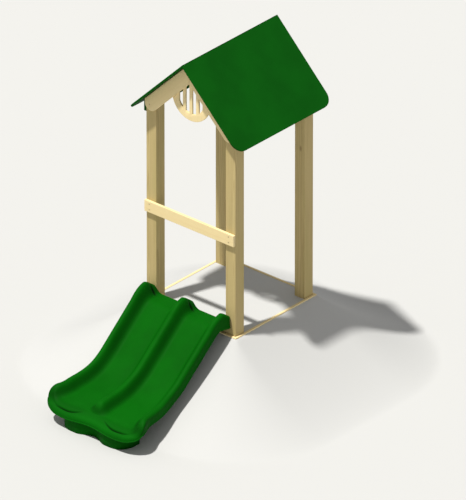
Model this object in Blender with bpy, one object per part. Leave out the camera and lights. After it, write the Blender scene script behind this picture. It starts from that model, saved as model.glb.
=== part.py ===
"""Play tower with a double-lane wave slide, for the top of a mound.

Four timber posts carry a pitched roof of two plastic sheets. A moulded slide
with two lanes hangs from a bearer between the front posts, runs down in front
of the tower and stands on a moulded foot. Z = 0 is the underside of the foot
and of the posts' buried ends, and the slide runs towards -Y.
"""

import math

import bmesh
import bpy
import numpy as np

# ---- Driving dimensions, in metres and degrees ----------------------------

CLEAR = 0.0003  # gap between pieces that touch

# Tower
GRADE = 0.560  # height of the mound's top above the slide's foot
TOWER_WIDTH = 0.900  # over the outer faces of the posts
TOWER_DEPTH = 0.900
POST = 0.100  # side of a square post
POST_ROUND = 0.004

# Ground boards round the posts, almost buried
GROUND_BOARD_HEIGHT = 0.145
GROUND_BOARD_THICK = 0.020
GROUND_BOARD_SHOWS = 0.008

# Roof
ROOF_PITCH = 45.0
RIDGE_HEIGHT = 2.227  # above the mound's top
ROOF_SIDE_OVERHANG = 0.114  # past the posts' outer faces, left and right
ROOF_OVERHANG = 0.0995  # past the posts, front and rear
ROOF_THICK = 0.015
ROOF_CORNER = 0.095
EAVE_BOARD_HEIGHT = 0.095
EAVE_BOARD_THICK = 0.022
RIDGE_BATTEN_WIDTH = 0.070
RIDGE_BATTEN_HEIGHT = 0.060

# Gable boards and sun panel
GABLE_WIDTH = 0.121
GABLE_THICK = 0.018
GABLE_END_ROUND = 0.060
SUN_RADIUS = 0.188
SUN_THICK = 0.015
SUN_BELOW_RIDGE = 0.328  # centre of the panel
SUN_RING = 0.060
SUN_SLOT = 0.038
SUN_SLOT_PITCH = 0.066
SUN_SLOTS = 4
SUN_CLEARANCE = 0.005  # between the panel and the roof sheets

# Guard rail
GUARD_BOTTOM = 0.790  # above the mound's top
GUARD_HEIGHT = 0.096
GUARD_THICK = 0.024
BOARD_ROUND = 0.003

# Slide, seen from the side: lane floor as a chain of straights and arcs
WALL = 0.008
DECK_RISE = 0.112  # lane floor at the head, above the mound's top
DECK_RUN = 0.1033  # level floor before the head's arc
HEAD_RADIUS = 0.120
SLOPE = 40.0
RUNOUT_HEIGHT = 0.2134  # lane floor where the run-out begins, above the foot's underside
RUNOUT_RADIUS = 0.624
RUNOUT_SLOPE = 5.0
RUNOUT_LENGTH = 0.1615
LIP_RADIUS = 0.300
LIP_LENGTH = 0.1746  # arc length of the lip at the lobes

# Slide, seen from above and in section
CHUTE_HALF = 0.410
CHUTE_FLARE = 0.070  # share by which the run-out is wider than the head
FLARE_FROM = 0.750  # from here along the lane
FLARE_RUN = 0.350
LIP_FLARE = 0.120  # share by which the lip is wider still
LIP_FLARE_FROM = 1.100
LIP_FLARE_RUN = 0.180
LIP_CORNER = 0.130
HEAD_CORNER = 0.030
LIP_LOBE = 0.020
CREST = 0.077  # crest height above a lane's floor
CREST_HEAD = 0.125  # the same at the head, where riders sit down
CREST_BLUNT = 0.42  # share of the crest's height left at the head's end face
CREST_RAKE = 0.095  # length of the raked end of a crest
CREST_SINK_FROM = 0.040  # the crest sinks from here along the lane
CREST_SINK_RUN = 0.170
CREST_END = 0.160  # the crest starts to fade out at this distance from the lip
RAIL_FADE = 0.130
RIDGE_FADE = 0.100
EDGE_ROUND = 0.028
LIP_EDGE_ROUND = 0.018
LIP_EDGE_FROM = 0.200  # the edge's radius changes from here before the lip
LIP_EDGE_RUN = 0.120
RAIL_INNER = 0.032  # from the outer edge to the crest's inner side
RAIL_FOOT = 0.122  # from the outer edge to the foot of the rail's inner wall
RIDGE_CREST = 0.008  # half width of the middle ridge's crest
RIDGE_FOOT = 0.094
WALL_TURN = 0.72  # share of an inner wall's width that hollows out, before it turns over the crest
SKIRT_DROP = 0.011  # rim's lower edge below the lane floor
SKIRT_LEAST = 0.010  # least height of the rim
HEAD_SKIRT_DROP = 0.030  # the same at the head, added to it
HEAD_SKIRT_RUN = 0.150
FLANGE_DROP = 0.075  # head flange below the lane floor
FLANGE_HALF = 0.360
FLANGE_FADE = 0.040

# Slide bearer and foot
BEARER_DEPTH = 0.045
BEARER_HEIGHT = 0.095
BEARER_TOP = 0.080  # above the mound's top
FOOT_INSET = 0.158  # from the widest part of the chute, left and right
FOOT_CORNER = 0.130
FOOT_SET_BACK = 0.024  # from the lip's front edge
FOOT_DEPTH = 0.205
FOOT_NOTCH = 0.050
FOOT_NOTCH_HALF = 0.150
FOOT_WALL = 0.010
FOOT_GAP = 0.0006  # between the foot's top and the chute's underside
FOOT_NOSE_DROP = 0.008  # extra room under the lip's rolled edge
FOOT_NOSE_RUN = 0.050

# Fasteners
SCREW_HEAD = 0.0050  # radius of a countersunk head
SCREW_SHANK = 0.0025
SCREW_SINK = 0.0030  # depth of the countersink
SCREW_TIP = 0.004
BOLT_SHANK = 0.0040
BOLT_HEAD = 0.0075  # corner radius of a hexagon head
BOLT_HEAD_HEIGHT = 0.0055
NUT_HEIGHT = 0.0065
BOLT_TAIL = 0.004
SIDES = 8  # facets round a screw
LONG_SCREW = 0.070
SHORT_SCREW = 0.060
BEARER_SCREW_GRIP = 0.050  # how far its screw goes into the bearer
GUARD_SCREWS = (("lower", 0.25), ("upper", 0.75))  # share of the rail's height
SUN_SCREWS = (("lower", 0.147), ("upper", 0.080))  # distance from the middle
RIDGE_SCREW_DEPTH = 0.030  # below the roof sheets
GROUND_SCREW_DEPTH = 0.050  # below the boards' tops
GROUND_SCREW_STEP = 0.030  # a side board's screw lies this much lower
BOLT_SPREAD = 0.250
FOOT_SCREW_SPREAD = 0.200
FOOT_SCREW_SET_BACK = 0.150
FOOT_SCREW_GAP = 0.0012

# Grid of the slide's surface
RIDGE_STEPS = (1, 5)  # columns over half the crest, and down one wall of the ridge
LANE_STEPS = 3
RAIL_STEPS = (6, 4)  # columns up a rail's inner wall, and over its crest to the edge
ROWS = 38
LIP_STEPS = 13
REACH_BELOW = 0.050  # how far a cutter reaches past what it cuts


# ---- Materials ------------------------------------------------------------


def material(name, colour, roughness, metallic=0.0):
    """A plain Principled material."""
    made = bpy.data.materials.new(name)
    made.use_nodes = True
    shader = made.node_tree.nodes["Principled BSDF"]
    shader.inputs["Base Color"].default_value = (*colour, 1.0)
    shader.inputs["Roughness"].default_value = roughness
    shader.inputs["Metallic"].default_value = metallic
    return made


# ---- Mesh helpers ---------------------------------------------------------


def object_of(name, verts, faces, finish):
    """A mesh object with its normals turned outwards."""
    mesh = bpy.data.meshes.new(name)
    mesh.from_pydata([tuple(map(float, v)) for v in verts], [], faces)
    work = bmesh.new()
    work.from_mesh(mesh)
    bmesh.ops.recalc_face_normals(work, faces=work.faces)
    work.to_mesh(mesh)
    work.free()
    made = bpy.data.objects.new(name, mesh)
    mesh.materials.append(finish)
    bpy.context.scene.collection.objects.link(made)
    return made


def block(name, low, high, finish, rounding=0.0):
    """A box between two corners, placed by its location, with eased edges."""
    low, high = np.array(low), np.array(high)
    half = (high - low) / 2
    corners = [(x, y, z) for x in (-1, 1) for y in (-1, 1) for z in (-1, 1)]
    faces = [(0, 1, 3, 2), (4, 6, 7, 5), (0, 4, 5, 1), (2, 3, 7, 6), (0, 2, 6, 4), (1, 5, 7, 3)]
    made = object_of(name, np.array(corners) * half, faces, finish)
    made.location = (low + high) / 2
    if rounding:
        ease(made, rounding)
    return made


def ease(made, width):
    """Rounds the sharp edges by a small bevel."""
    bevel = made.modifiers.new("eased_edges", "BEVEL")
    bevel.width = width
    bevel.segments = 2
    bevel.limit_method = "ANGLE"
    bevel.angle_limit = math.radians(40)


def prism(name, outline, start, end, finish, axis="Y"):
    """An outline carried along an axis: (x, z) outlines along Y, (y, z) along X, (x, y) along Z."""
    place = {
        "X": lambda a, b, c: (c, a, b),
        "Y": lambda a, b, c: (a, c, b),
        "Z": lambda a, b, c: (a, b, c),
    }[axis]
    count = len(outline)
    verts = [place(a, b, start) for a, b in outline] + [place(a, b, end) for a, b in outline]
    faces = [tuple(range(count)), tuple(range(2 * count - 1, count - 1, -1))]
    faces += [(i, (i + 1) % count, (i + 1) % count + count, i + count) for i in range(count)]
    return object_of(name, verts, faces, finish)


def turned(name, profile, finish, sides=SIDES):
    """A profile of (radius, height, six) rows turned about Z; a six-sided row is a hexagon."""
    verts, faces, rings = [], [], []
    flat = math.cos(math.pi / 6)
    for radius, height, six in profile:
        if radius == 0:
            rings.append([len(verts)])
            verts.append((0.0, 0.0, height))
            continue
        rings.append(list(range(len(verts), len(verts) + sides)))
        for side in range(sides):
            angle = 2 * math.pi * (side + 0.5) / sides
            reach = radius * (flat if six and side % 2 else 1.0)
            verts.append((reach * math.cos(angle), reach * math.sin(angle), height))
    for upper, lower in zip(rings, rings[1:]):
        for side in range(sides):
            following = (side + 1) % sides
            if len(upper) == 1:
                faces.append((upper[0], lower[side], lower[following]))
            elif len(lower) == 1:
                faces.append((upper[side], lower[0], upper[following]))
            else:
                faces.append((upper[side], lower[side], lower[following], upper[following]))
    return object_of(name, verts, faces, finish)


def aim(made, point, direction):
    """Puts a turned piece's head at a point, with its shank along a direction."""
    turn = {
        "+X": (0, -math.pi / 2, 0),
        "-X": (0, math.pi / 2, 0),
        "+Y": (math.pi / 2, 0, 0),
        "-Y": (-math.pi / 2, 0, 0),
        "+Z": (math.pi, 0, 0),
    }[direction]
    made.rotation_euler = turn
    made.location = point


def cut(made, cutter):
    """Takes a helper's shape away from a piece."""
    hide(cutter)
    boolean = made.modifiers.new(cutter.name, "BOOLEAN")
    boolean.operation = "DIFFERENCE"
    boolean.object = cutter


def hide(helper):
    """Keeps a helper out of the model."""
    helper.hide_render = True
    helper.display_type = "WIRE"


# ---- Fasteners ------------------------------------------------------------


def screw_profile(length, grow=0.0):
    """Countersunk screw pointing down from its flat head at height 0."""
    top = 0.001 if grow else 0.0
    head = [(0, top, False), (SCREW_HEAD + grow, top, False)]
    if grow:
        head.append((SCREW_HEAD + grow, -grow, False))
    shank = SCREW_SHANK + grow
    return head + [
        (shank, -SCREW_SINK - grow, False),
        (shank, -length + SCREW_TIP, False),
        (0, -length - grow, False),
    ]


def screw(name, point, direction, length, held, finish):
    """A countersunk screw and its hole in each piece it holds."""
    made = turned(name, screw_profile(length), finish)
    aim(made, point, direction)
    hole = turned(name + "_hole", screw_profile(length, CLEAR), finish)
    aim(hole, point, direction)
    for piece in held:
        cut(piece, hole)
    return made


def bolt_and_nut(name, head_point, nut_face, held, finish):
    """A hexagon bolt along +Y, its head bearing at head_point, and its nut."""
    grip = nut_face[1] - head_point[1]
    length = grip + NUT_HEIGHT + BOLT_TAIL
    seat = 2 * CLEAR
    profile = [
        (0, BOLT_HEAD_HEIGHT + seat, False),
        (BOLT_HEAD, BOLT_HEAD_HEIGHT + seat, True),
        (BOLT_HEAD, seat, True),
        (BOLT_SHANK, seat, False),
        (BOLT_SHANK, -length, False),
        (0, -length, False),
    ]
    made = turned(name, profile, finish, 12)
    aim(made, head_point, "+Y")
    hole = turned(name + "_hole", through_profile(grip), finish, 12)
    aim(hole, head_point, "+Y")
    for piece in held:
        cut(piece, hole)
    inner = BOLT_SHANK + CLEAR
    rings = [(BOLT_HEAD, seat + NUT_HEIGHT, True), (BOLT_HEAD, seat, True)]
    rings += [(inner, seat, False), (inner, seat + NUT_HEIGHT, False)]
    nut = ring(name.replace("bolt", "nut"), rings, finish)
    aim(nut, nut_face, "-Y")
    return made, nut


def through_profile(grip):
    """A straight hole through everything that a bolt grips."""
    radius = BOLT_SHANK + CLEAR
    margin = 0.002
    return [(0, margin, False), (radius, margin, False), (radius, -grip - margin, False),
            (0, -grip - margin, False)]


def ring(name, rings, finish, sides=12):
    """A closed loop of rows turned about Z, for a nut or a washer."""
    verts, faces = [], []
    flat = math.cos(math.pi / 6)
    for radius, height, six in rings:
        for side in range(sides):
            angle = 2 * math.pi * (side + 0.5) / sides
            reach = radius * (flat if six and side % 2 else 1.0)
            verts.append((reach * math.cos(angle), reach * math.sin(angle), height))
    for row in range(len(rings)):
        below = (row + 1) % len(rings)
        for side in range(sides):
            following = (side + 1) % sides
            faces.append((row * sides + side, below * sides + side,
                          below * sides + following, row * sides + following))
    return object_of(name, verts, faces, finish)


# ---- The slide's surface --------------------------------------------------


def lane_profile():
    """Lane floor from the head to the lip: arc length, reach from the tower, height, slope angle."""
    steep, gentle = math.radians(SLOPE), math.radians(RUNOUT_SLOPE)
    deck = GRADE + DECK_RISE
    head_drop = HEAD_RADIUS * (1 - math.cos(steep))
    run_drop = RUNOUT_RADIUS * (math.cos(gentle) - math.cos(steep))
    straight_drop = deck - head_drop - run_drop - RUNOUT_HEIGHT
    lip_end = gentle + (LIP_LENGTH + 0.1) / LIP_RADIUS
    pieces = [
        (DECK_RUN, 0.0, 0.0, 3),
        (HEAD_RADIUS * steep, 0.0, steep, 9),
        (straight_drop / math.sin(steep), steep, steep, 7),
        (RUNOUT_RADIUS * (steep - gentle), steep, gentle, 13),
        (RUNOUT_LENGTH, gentle, gentle, 4),
        (LIP_RADIUS * (lip_end - gentle), gentle, lip_end, LIP_STEPS),
    ]
    rows = [(0.0, 0.0, deck, 0.0)]
    for length, start, end, steps in pieces:
        s0, reach, height, _ = rows[-1]
        for step in range(1, steps + 1):
            share = step / steps
            angle = start + (end - start) * share
            if start == end:
                along = length * share
                rows.append((s0 + along, reach + along * math.cos(start),
                             height - along * math.sin(start), start))
            else:
                radius = length / (end - start)
                rows.append((s0 + length * share,
                             reach + radius * (math.sin(angle) - math.sin(start)),
                             height + radius * (math.cos(angle) - math.cos(start)), angle))
    return np.array(rows).T


def smooth_step(value):
    """0 below 0, 1 above 1, and half a cosine wave between."""
    return 0.5 - 0.5 * np.cos(np.pi * np.clip(value, 0.0, 1.0))


def lip_arc_start():
    """Arc length along the lane floor at which the lip's arc starts."""
    return lane_profile()[0][-1 - LIP_STEPS]


def wall_curve(share):
    """Inner wall of a rail or ridge, from 0 at its foot to 1 at its crest: two parabolas."""
    share = np.clip(share, 0.0, 1.0)
    over = 1 - (1 - share) ** 2 / (1 - WALL_TURN)
    return np.where(share < WALL_TURN, share**2 / WALL_TURN, over)


def column_places():
    """Distances of the grid's columns from the middle line, closer together on the walls."""
    stops = [0.0, RIDGE_CREST, RIDGE_FOOT, CHUTE_HALF - RAIL_FOOT, CHUTE_HALF - RAIL_INNER, CHUTE_HALF]
    steps = [*RIDGE_STEPS, LANE_STEPS, *RAIL_STEPS]
    spans = [np.linspace(a, b, n + 1)[1:] for a, b, n in zip(stops, stops[1:], steps)]
    half = np.concatenate(spans)
    return np.concatenate([-half[::-1], [0.0], half])


def chute_grid():
    """Points of the chute's upper surface (columns, rows, 3) and the ring below its edge."""
    length, reach, height, angle = lane_profile()
    x = column_places()
    away = np.abs(x)
    front_full = lip_arc_start() + LIP_LENGTH - LIP_LOBE
    front_full = front_full + LIP_LOBE * (0.5 - 0.5 * np.cos(2 * np.pi * away / CHUTE_HALF))
    front = front_full - corner_loss(away, LIP_CORNER)
    back = corner_loss(away, HEAD_CORNER)
    rows = np.linspace(0, 1, ROWS)
    rows = 0.5 * rows + 0.5 * np.sin(rows * np.pi / 2)
    s = back[:, None] + (front - back)[:, None] * rows
    across = np.repeat(x[:, None], ROWS, axis=1)
    inside = distance_inside(np.abs(across), s, front_full[:, None])
    past = s - front_full[:, None]
    rail = wall_curve((RAIL_FOOT - inside) / (RAIL_FOOT - RAIL_INNER))
    rail = rail * (1 - smooth_step((past + CREST_END) / RAIL_FADE))
    ridge = wall_curve((RIDGE_FOOT - np.abs(across)) / (RIDGE_FOOT - RIDGE_CREST))
    ridge = ridge * (1 - smooth_step((past + CREST_END) / RIDGE_FADE))
    crest = CREST + (CREST_HEAD - CREST) * (1 - smooth_step((s - CREST_SINK_FROM) / CREST_SINK_RUN))
    crest = crest * np.clip(CREST_BLUNT + (1 - CREST_BLUNT) * s / CREST_RAKE, 0, 1)
    at_lip = smooth_step((past + LIP_EDGE_FROM) / LIP_EDGE_RUN)
    round_edge = EDGE_ROUND + (LIP_EDGE_ROUND - EDGE_ROUND) * at_lip
    over = np.clip(1 - inside / round_edge, 0, 1)
    rise = crest * np.maximum(rail, ridge) - round_edge * (1 - np.sqrt(1 - over**2))
    widen = 1 + CHUTE_FLARE * smooth_step((s - FLARE_FROM) / FLARE_RUN)
    widen = widen + LIP_FLARE * smooth_step((s - LIP_FLARE_FROM) / LIP_FLARE_RUN)
    floor = [np.interp(s, length, row) for row in (reach, height, angle)]
    grid = lifted(across * widen, floor, rise)
    edge = edge_loop(len(x), ROWS)
    at = tuple(edge.T)
    drop = SKIRT_DROP + HEAD_SKIRT_DROP * np.clip(1 - s[at] / HEAD_SKIRT_RUN, 0, 1)
    low = np.minimum(-drop, rise[at] - SKIRT_LEAST)
    flange = smooth_step((FLANGE_HALF - np.abs(across[at])) / FLANGE_FADE) * (s[at] < 0.002)
    low = low * (1 - flange) - FLANGE_DROP * flange
    ring_points = lifted((across * widen)[at], [row[at] for row in floor], low)
    return grid, edge, ring_points


def corner_loss(away, radius):
    """How far a rounded corner cuts the end back at a distance from the middle line."""
    past = np.clip(away - (CHUTE_HALF - radius), 0, radius)
    return radius - np.sqrt(np.maximum(radius**2 - past**2, 0))


def distance_inside(away, s, front_full):
    """Distance to the outline with its rounded lip corners, measured on the unrolled surface."""
    past_x = away - (CHUTE_HALF - LIP_CORNER)
    past_s = s - (front_full - LIP_CORNER)
    corner = LIP_CORNER - np.hypot(past_x, past_s)
    plain = np.minimum(CHUTE_HALF - away, front_full - s)
    return np.maximum(np.where((past_x > 0) & (past_s > 0), corner, plain), 0)


def lifted(across, floor, rise):
    """Points above the lane floor along its normal, or straight down below it."""
    reach, height, angle = floor
    up, down = np.maximum(rise, 0), np.minimum(rise, 0)
    forward = reach + up * np.sin(angle)
    return np.stack([across, -forward, height + up * np.cos(angle) + down], axis=-1)


def edge_loop(columns, rows):
    """Grid indices once round the border."""
    left = [(0, row) for row in range(rows)]
    front = [(column, rows - 1) for column in range(1, columns)]
    right = [(columns - 1, row) for row in range(rows - 2, -1, -1)]
    back = [(column, 0) for column in range(columns - 2, 0, -1)]
    return np.array(left + front + right + back)


GRID, EDGE, EDGE_LOW = chute_grid()
SLIDE_REACH = -GRID[..., 1].min()
FOOT_HALF = CHUTE_HALF * (1 + CHUTE_FLARE + LIP_FLARE) - FOOT_INSET
FACE_Y = (SLIDE_REACH - TOWER_DEPTH - ROOF_OVERHANG) / 2  # front faces of the front posts
REAR_Y = FACE_Y + TOWER_DEPTH
HALF_WIDTH = TOWER_WIDTH / 2
TAN = math.tan(math.radians(ROOF_PITCH))
COS = math.cos(math.radians(ROOF_PITCH))
RIDGE_Z = GRADE + RIDGE_HEIGHT
SUN_Z = RIDGE_Z - SUN_BELOW_RIDGE


def under_roof(x):
    """Height of the roof sheets' underside at a distance from the middle, less the gap."""
    return RIDGE_Z - abs(x) * TAN - (ROOF_THICK + CLEAR) / COS


def make_chute(finish):
    """The double-lane chute: one moulded wall with its edges turned down."""
    columns, rows = GRID.shape[:2]
    verts = np.concatenate([GRID.reshape(-1, 3), EDGE_LOW])
    verts = verts + np.array([0.0, FACE_Y - CLEAR, 0.0])
    faces = [
        (c * rows + r, c * rows + r + 1, (c + 1) * rows + r + 1, (c + 1) * rows + r)
        for c in range(columns - 1)
        for r in range(rows - 1)
    ]
    border = [int(c * rows + r) for c, r in EDGE]
    count, first = len(border), columns * rows
    faces += [
        (border[i], first + i, first + (i + 1) % count, border[(i + 1) % count])
        for i in range(count)
    ]
    chute = object_of("slide_chute", verts, faces, finish)
    if chute.data.polygons[len(chute.data.polygons) // 3].normal.z < 0:
        chute.data.flip_normals()
    wall = chute.modifiers.new("wall", "SOLIDIFY")
    wall.thickness = WALL
    wall.offset = -1
    wall.use_even_offset = False
    chute.data.shade_smooth()
    return chute


def make_foot(finish):
    """Hollow moulded foot with two lobes, open below, shaped to the run-out's underside."""
    front = -SLIDE_REACH + FOOT_SET_BACK
    steps = 7
    corner = [math.pi / 2 * i / steps for i in range(steps + 1)]

    def outline(inset):
        half, radius = FOOT_HALF - inset, FOOT_CORNER - inset
        nose, tail = front + inset, front + FOOT_DEPTH - inset
        right = [(half, tail)]
        right += [(half - radius * (1 - math.cos(a)), nose + radius * (1 - math.sin(a))) for a in corner]
        middle = half - radius
        inner = [middle * (1 - 2 * i / 14) for i in range(1, 14)]
        left = [(-x, y) for x, y in reversed(right)]
        points = right + [(x, nose) for x in inner] + left
        return [(x, y + notch(x) + FACE_Y) for x, y in points]

    def notch(x):
        return FOOT_NOTCH * (1 - float(smooth_step(abs(x) / FOOT_NOTCH_HALF)))

    def top_outline(lower):
        length, reach, height, angle = lane_profile()
        rear = SLIDE_REACH - FOOT_SET_BACK - FOOT_DEPTH - 2 * REACH_BELOW
        keep = (reach > rear) & (reach < SLIDE_REACH + REACH_BELOW)
        nose = FOOT_NOSE_DROP * smooth_step((reach - SLIDE_REACH) / FOOT_NOSE_RUN + 1)
        top = height - (WALL + FOOT_GAP + lower) / np.cos(angle) - nose
        under = [(FACE_Y - r, z) for r, z in zip(reach[keep], top[keep])]
        return under + [(under[-1][0], -REACH_BELOW), (under[0][0], -REACH_BELOW)]

    foot = prism("slide_foot", outline(0.0), 0.0, GRADE, finish, "Z")
    beside = FOOT_HALF + REACH_BELOW
    envelope = prism("foot_envelope", top_outline(0.0), -beside, beside, finish, "X")
    hide(envelope)
    shape = foot.modifiers.new("under_chute", "BOOLEAN")
    shape.operation = "INTERSECT"
    shape.object = envelope
    cavity = prism("foot_cavity", outline(FOOT_WALL), -REACH_BELOW / 2, GRADE, finish, "Z")
    roof = prism("foot_cavity_top", top_outline(FOOT_WALL), -FOOT_HALF, FOOT_HALF, finish, "X")
    hide(roof)
    limit = cavity.modifiers.new("below_top", "BOOLEAN")
    limit.operation = "INTERSECT"
    limit.object = roof
    cut(foot, cavity)
    return foot


# ---- Timber ---------------------------------------------------------------


def make_posts(finish):
    """Four square posts, cut to the roof's pitch at the top."""
    posts = {}
    for row, low_y in (("front", FACE_Y), ("rear", REAR_Y - POST)):
        for side, sign in (("left", -1), ("right", 1)):
            outer, inner = sign * HALF_WIDTH, sign * (HALF_WIDTH - POST)
            outline = [(outer, 0), (outer, under_roof(outer)), (inner, under_roof(inner)), (inner, 0)]
            name = f"post_{row}_{side}"
            post = prism(name, outline, low_y, low_y + POST, finish)
            ease(post, POST_ROUND)
            posts[name] = post
    return posts


def make_ground_boards(finish):
    """Boards on the posts' outer faces, with their top edges just above the mound."""
    top = GRADE + GROUND_BOARD_SHOWS
    bottom = top - GROUND_BOARD_HEIGHT
    near = HALF_WIDTH + CLEAR
    far = near + GROUND_BOARD_THICK
    front_far, rear_far = FACE_Y - CLEAR - GROUND_BOARD_THICK, REAR_Y + CLEAR + GROUND_BOARD_THICK
    spans = {
        "ground_board_left": ((-far, FACE_Y), (-near, REAR_Y)),
        "ground_board_right": ((near, FACE_Y), (far, REAR_Y)),
        "ground_board_front": ((-far, front_far), (far, FACE_Y - CLEAR)),
        "ground_board_rear": ((-far, REAR_Y + CLEAR), (far, rear_far)),
    }
    return {
        name: block(name, (*low, bottom), (*high, top), finish, BOARD_ROUND)
        for name, (low, high) in spans.items()
    }


def make_bearer(finish):
    """Timber between the front posts that holds the slide's head."""
    half = HALF_WIDTH - POST - CLEAR
    top = GRADE + BEARER_TOP
    low = (-half, FACE_Y, top - BEARER_HEIGHT)
    return block("slide_bearer", low, (half, FACE_Y + BEARER_DEPTH, top), finish, BOARD_ROUND)


def make_guard_rail(finish):
    """Rail across the front posts above the slide's head."""
    low = (-HALF_WIDTH, FACE_Y - CLEAR - GUARD_THICK, GRADE + GUARD_BOTTOM)
    high = (HALF_WIDTH, FACE_Y - CLEAR, GRADE + GUARD_BOTTOM + GUARD_HEIGHT)
    return block("guard_rail", low, high, finish, BOARD_ROUND)


def gable_outline(sign):
    """One board from the ridge down to the post, its lower end cut upright and rounded."""
    drop = GABLE_WIDTH / COS
    inner = CLEAR / 2
    turn = math.radians(90 - ROOF_PITCH)
    radius = GABLE_END_ROUND
    run = radius / math.tan(turn / 2)
    low_corner = under_roof(HALF_WIDTH) - drop
    centre = (HALF_WIDTH - radius, low_corner + run)
    steps = 7
    sweep = math.pi - turn
    arc = [
        (centre[0] + radius * math.cos(-sweep * i / steps), centre[1] + radius * math.sin(-sweep * i / steps))
        for i in range(steps + 1)
    ]
    points = [(inner, under_roof(inner)), (HALF_WIDTH, under_roof(HALF_WIDTH))] + arc
    points.append((inner, under_roof(inner) - drop))
    return [(sign * x, z) for x, z in points]


def make_gables(finish):
    """Two boards in an upturned V on the front and on the rear posts."""
    boards = {}
    faces = (("front", FACE_Y - CLEAR - GABLE_THICK), ("rear", REAR_Y + CLEAR))
    for end, low_y in faces:
        for side, sign in (("left", -1), ("right", 1)):
            name = f"gable_board_{end}_{side}"
            boards[name] = prism(name, gable_outline(sign), low_y, low_y + GABLE_THICK, finish)
            ease(boards[name], BOARD_ROUND / 2)
    return boards


def sun_outline():
    """Disc whose top is cut back under the roof sheets."""
    steps = 40
    points = []
    for step in range(steps):
        angle = 2 * math.pi * step / steps
        x, z = SUN_RADIUS * math.sin(angle), SUN_Z + SUN_RADIUS * math.cos(angle)
        points.append((x, min(z, under_roof(x) - SUN_CLEARANCE)))
    return points


def slot_outline(x):
    """Upright slot whose ends follow a circle inside the panel's rim."""
    inner = SUN_RADIUS - SUN_RING
    half = SUN_SLOT / 2
    steps = 5
    xs = [x - half + SUN_SLOT * i / steps for i in range(steps + 1)]
    centre = SUN_Z
    top = [(v, centre + math.sqrt(inner**2 - v**2)) for v in xs]
    bottom = [(v, centre - math.sqrt(inner**2 - v**2)) for v in reversed(xs)]
    return top + bottom


def make_sun_panel(finish):
    """Round panel behind the front gable boards, with four upright slots."""
    near = FACE_Y + CLEAR
    panel = prism("sun_panel", sun_outline(), near, near + SUN_THICK, finish)
    for index in range(SUN_SLOTS):
        x = (index - (SUN_SLOTS - 1) / 2) * SUN_SLOT_PITCH
        depth = (near - REACH_BELOW, near + SUN_THICK + REACH_BELOW)
        slot = prism(f"sun_slot_{index}", slot_outline(x), *depth, finish)
        cut(panel, slot)
    return panel


def make_eave_boards(finish):
    """Boards along the outer faces of the posts, under the roof sheets' lower edges."""
    boards = {}
    for side, sign in (("left", -1), ("right", 1)):
        near = HALF_WIDTH + CLEAR
        far = near + EAVE_BOARD_THICK
        bottom = under_roof(far) - EAVE_BOARD_HEIGHT
        outline = [(near, bottom), (far, bottom), (far, under_roof(far)), (near, under_roof(near))]
        outline = [(sign * x, z) for x, z in outline]
        name = f"eave_board_{side}"
        boards[name] = prism(name, outline, FACE_Y, REAR_Y, finish)
        ease(boards[name], BOARD_ROUND / 2)
    return boards


def make_ridge_batten(finish):
    """Batten under the ridge, between the gable boards."""
    half = RIDGE_BATTEN_WIDTH / 2
    bottom = under_roof(0) - RIDGE_BATTEN_HEIGHT
    outline = [(-half, bottom), (half, bottom), (half, under_roof(half)), (0, under_roof(0)),
               (-half, under_roof(half))]
    front = FACE_Y + SUN_THICK + 2 * CLEAR
    batten = prism("ridge_batten", outline, front, REAR_Y, finish)
    ease(batten, BOARD_ROUND / 2)
    return batten


def make_roof(finish):
    """Two flat sheets that meet in a mitre at the ridge, with rounded eave corners."""
    slope_length = (HALF_WIDTH + ROOF_SIDE_OVERHANG) / COS
    front, rear = FACE_Y - ROOF_OVERHANG, REAR_Y + ROOF_OVERHANG
    steps = 8
    corner = [math.pi / 2 * i / steps for i in range(steps + 1)]
    radius = ROOF_CORNER
    outline = [(0.0, front)]
    outline += [(slope_length - radius + radius * math.sin(a), front + radius * (1 - math.cos(a)))
                for a in corner]
    outline += [(slope_length - radius + radius * math.cos(a), rear - radius * (1 - math.sin(a)))
                for a in corner]
    outline.append((0.0, rear))
    mitre = ROOF_THICK * TAN
    panels = {}
    for side, sign in (("left", -1), ("right", 1)):
        name = f"roof_panel_{side}"
        panel = prism(name, [(sign * u, y) for u, y in outline], -ROOF_THICK, 0.0, finish, "Z")
        for vertex in panel.data.vertices:
            if abs(vertex.co.x) < 1e-6 and vertex.co.z < -ROOF_THICK / 2:
                vertex.co.x += sign * mitre
        panel.rotation_euler = (0.0, sign * math.radians(ROOF_PITCH), 0.0)
        panel.location = (sign * CLEAR / 2, 0.0, RIDGE_Z)
        panels[name] = panel
    return panels


# ---- Fixings --------------------------------------------------------------


def fix_guard_rail(rail, posts, finish):
    """Two screws into each front post."""
    for side, sign in (("left", -1), ("right", 1)):
        post = posts[f"post_front_{side}"]
        for level, share in GUARD_SCREWS:
            point = (sign * (HALF_WIDTH - POST / 2), FACE_Y - CLEAR - GUARD_THICK,
                     GRADE + GUARD_BOTTOM + GUARD_HEIGHT * share)
            screw(f"guard_rail_screw_{side}_{level}", point, "+Y", LONG_SCREW, (rail, post), finish)


def fix_gables(boards, posts, batten, panel, finish):
    """One screw into the post and one into the ridge batten for each board."""
    drop = GABLE_WIDTH / COS / 2
    for end, face, direction in (("front", FACE_Y - CLEAR - GABLE_THICK, "+Y"),
                                 ("rear", REAR_Y + CLEAR + GABLE_THICK, "-Y")):
        for side, sign in (("left", -1), ("right", 1)):
            board = boards[f"gable_board_{end}_{side}"]
            post = posts[f"post_{end}_{side}"]
            low_x = HALF_WIDTH - POST / 2
            point = (sign * low_x, face, under_roof(low_x) - drop)
            screw(f"gable_screw_{end}_{side}_post", point, direction, SHORT_SCREW, (board, post), finish)
            high_x = RIDGE_BATTEN_WIDTH / 4
            point = (sign * high_x, face, under_roof(high_x) - RIDGE_SCREW_DEPTH)
            held = (board, batten, panel) if end == "front" else (board, batten)
            screw(f"gable_screw_{end}_{side}_ridge", point, direction, LONG_SCREW, held, finish)


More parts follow.
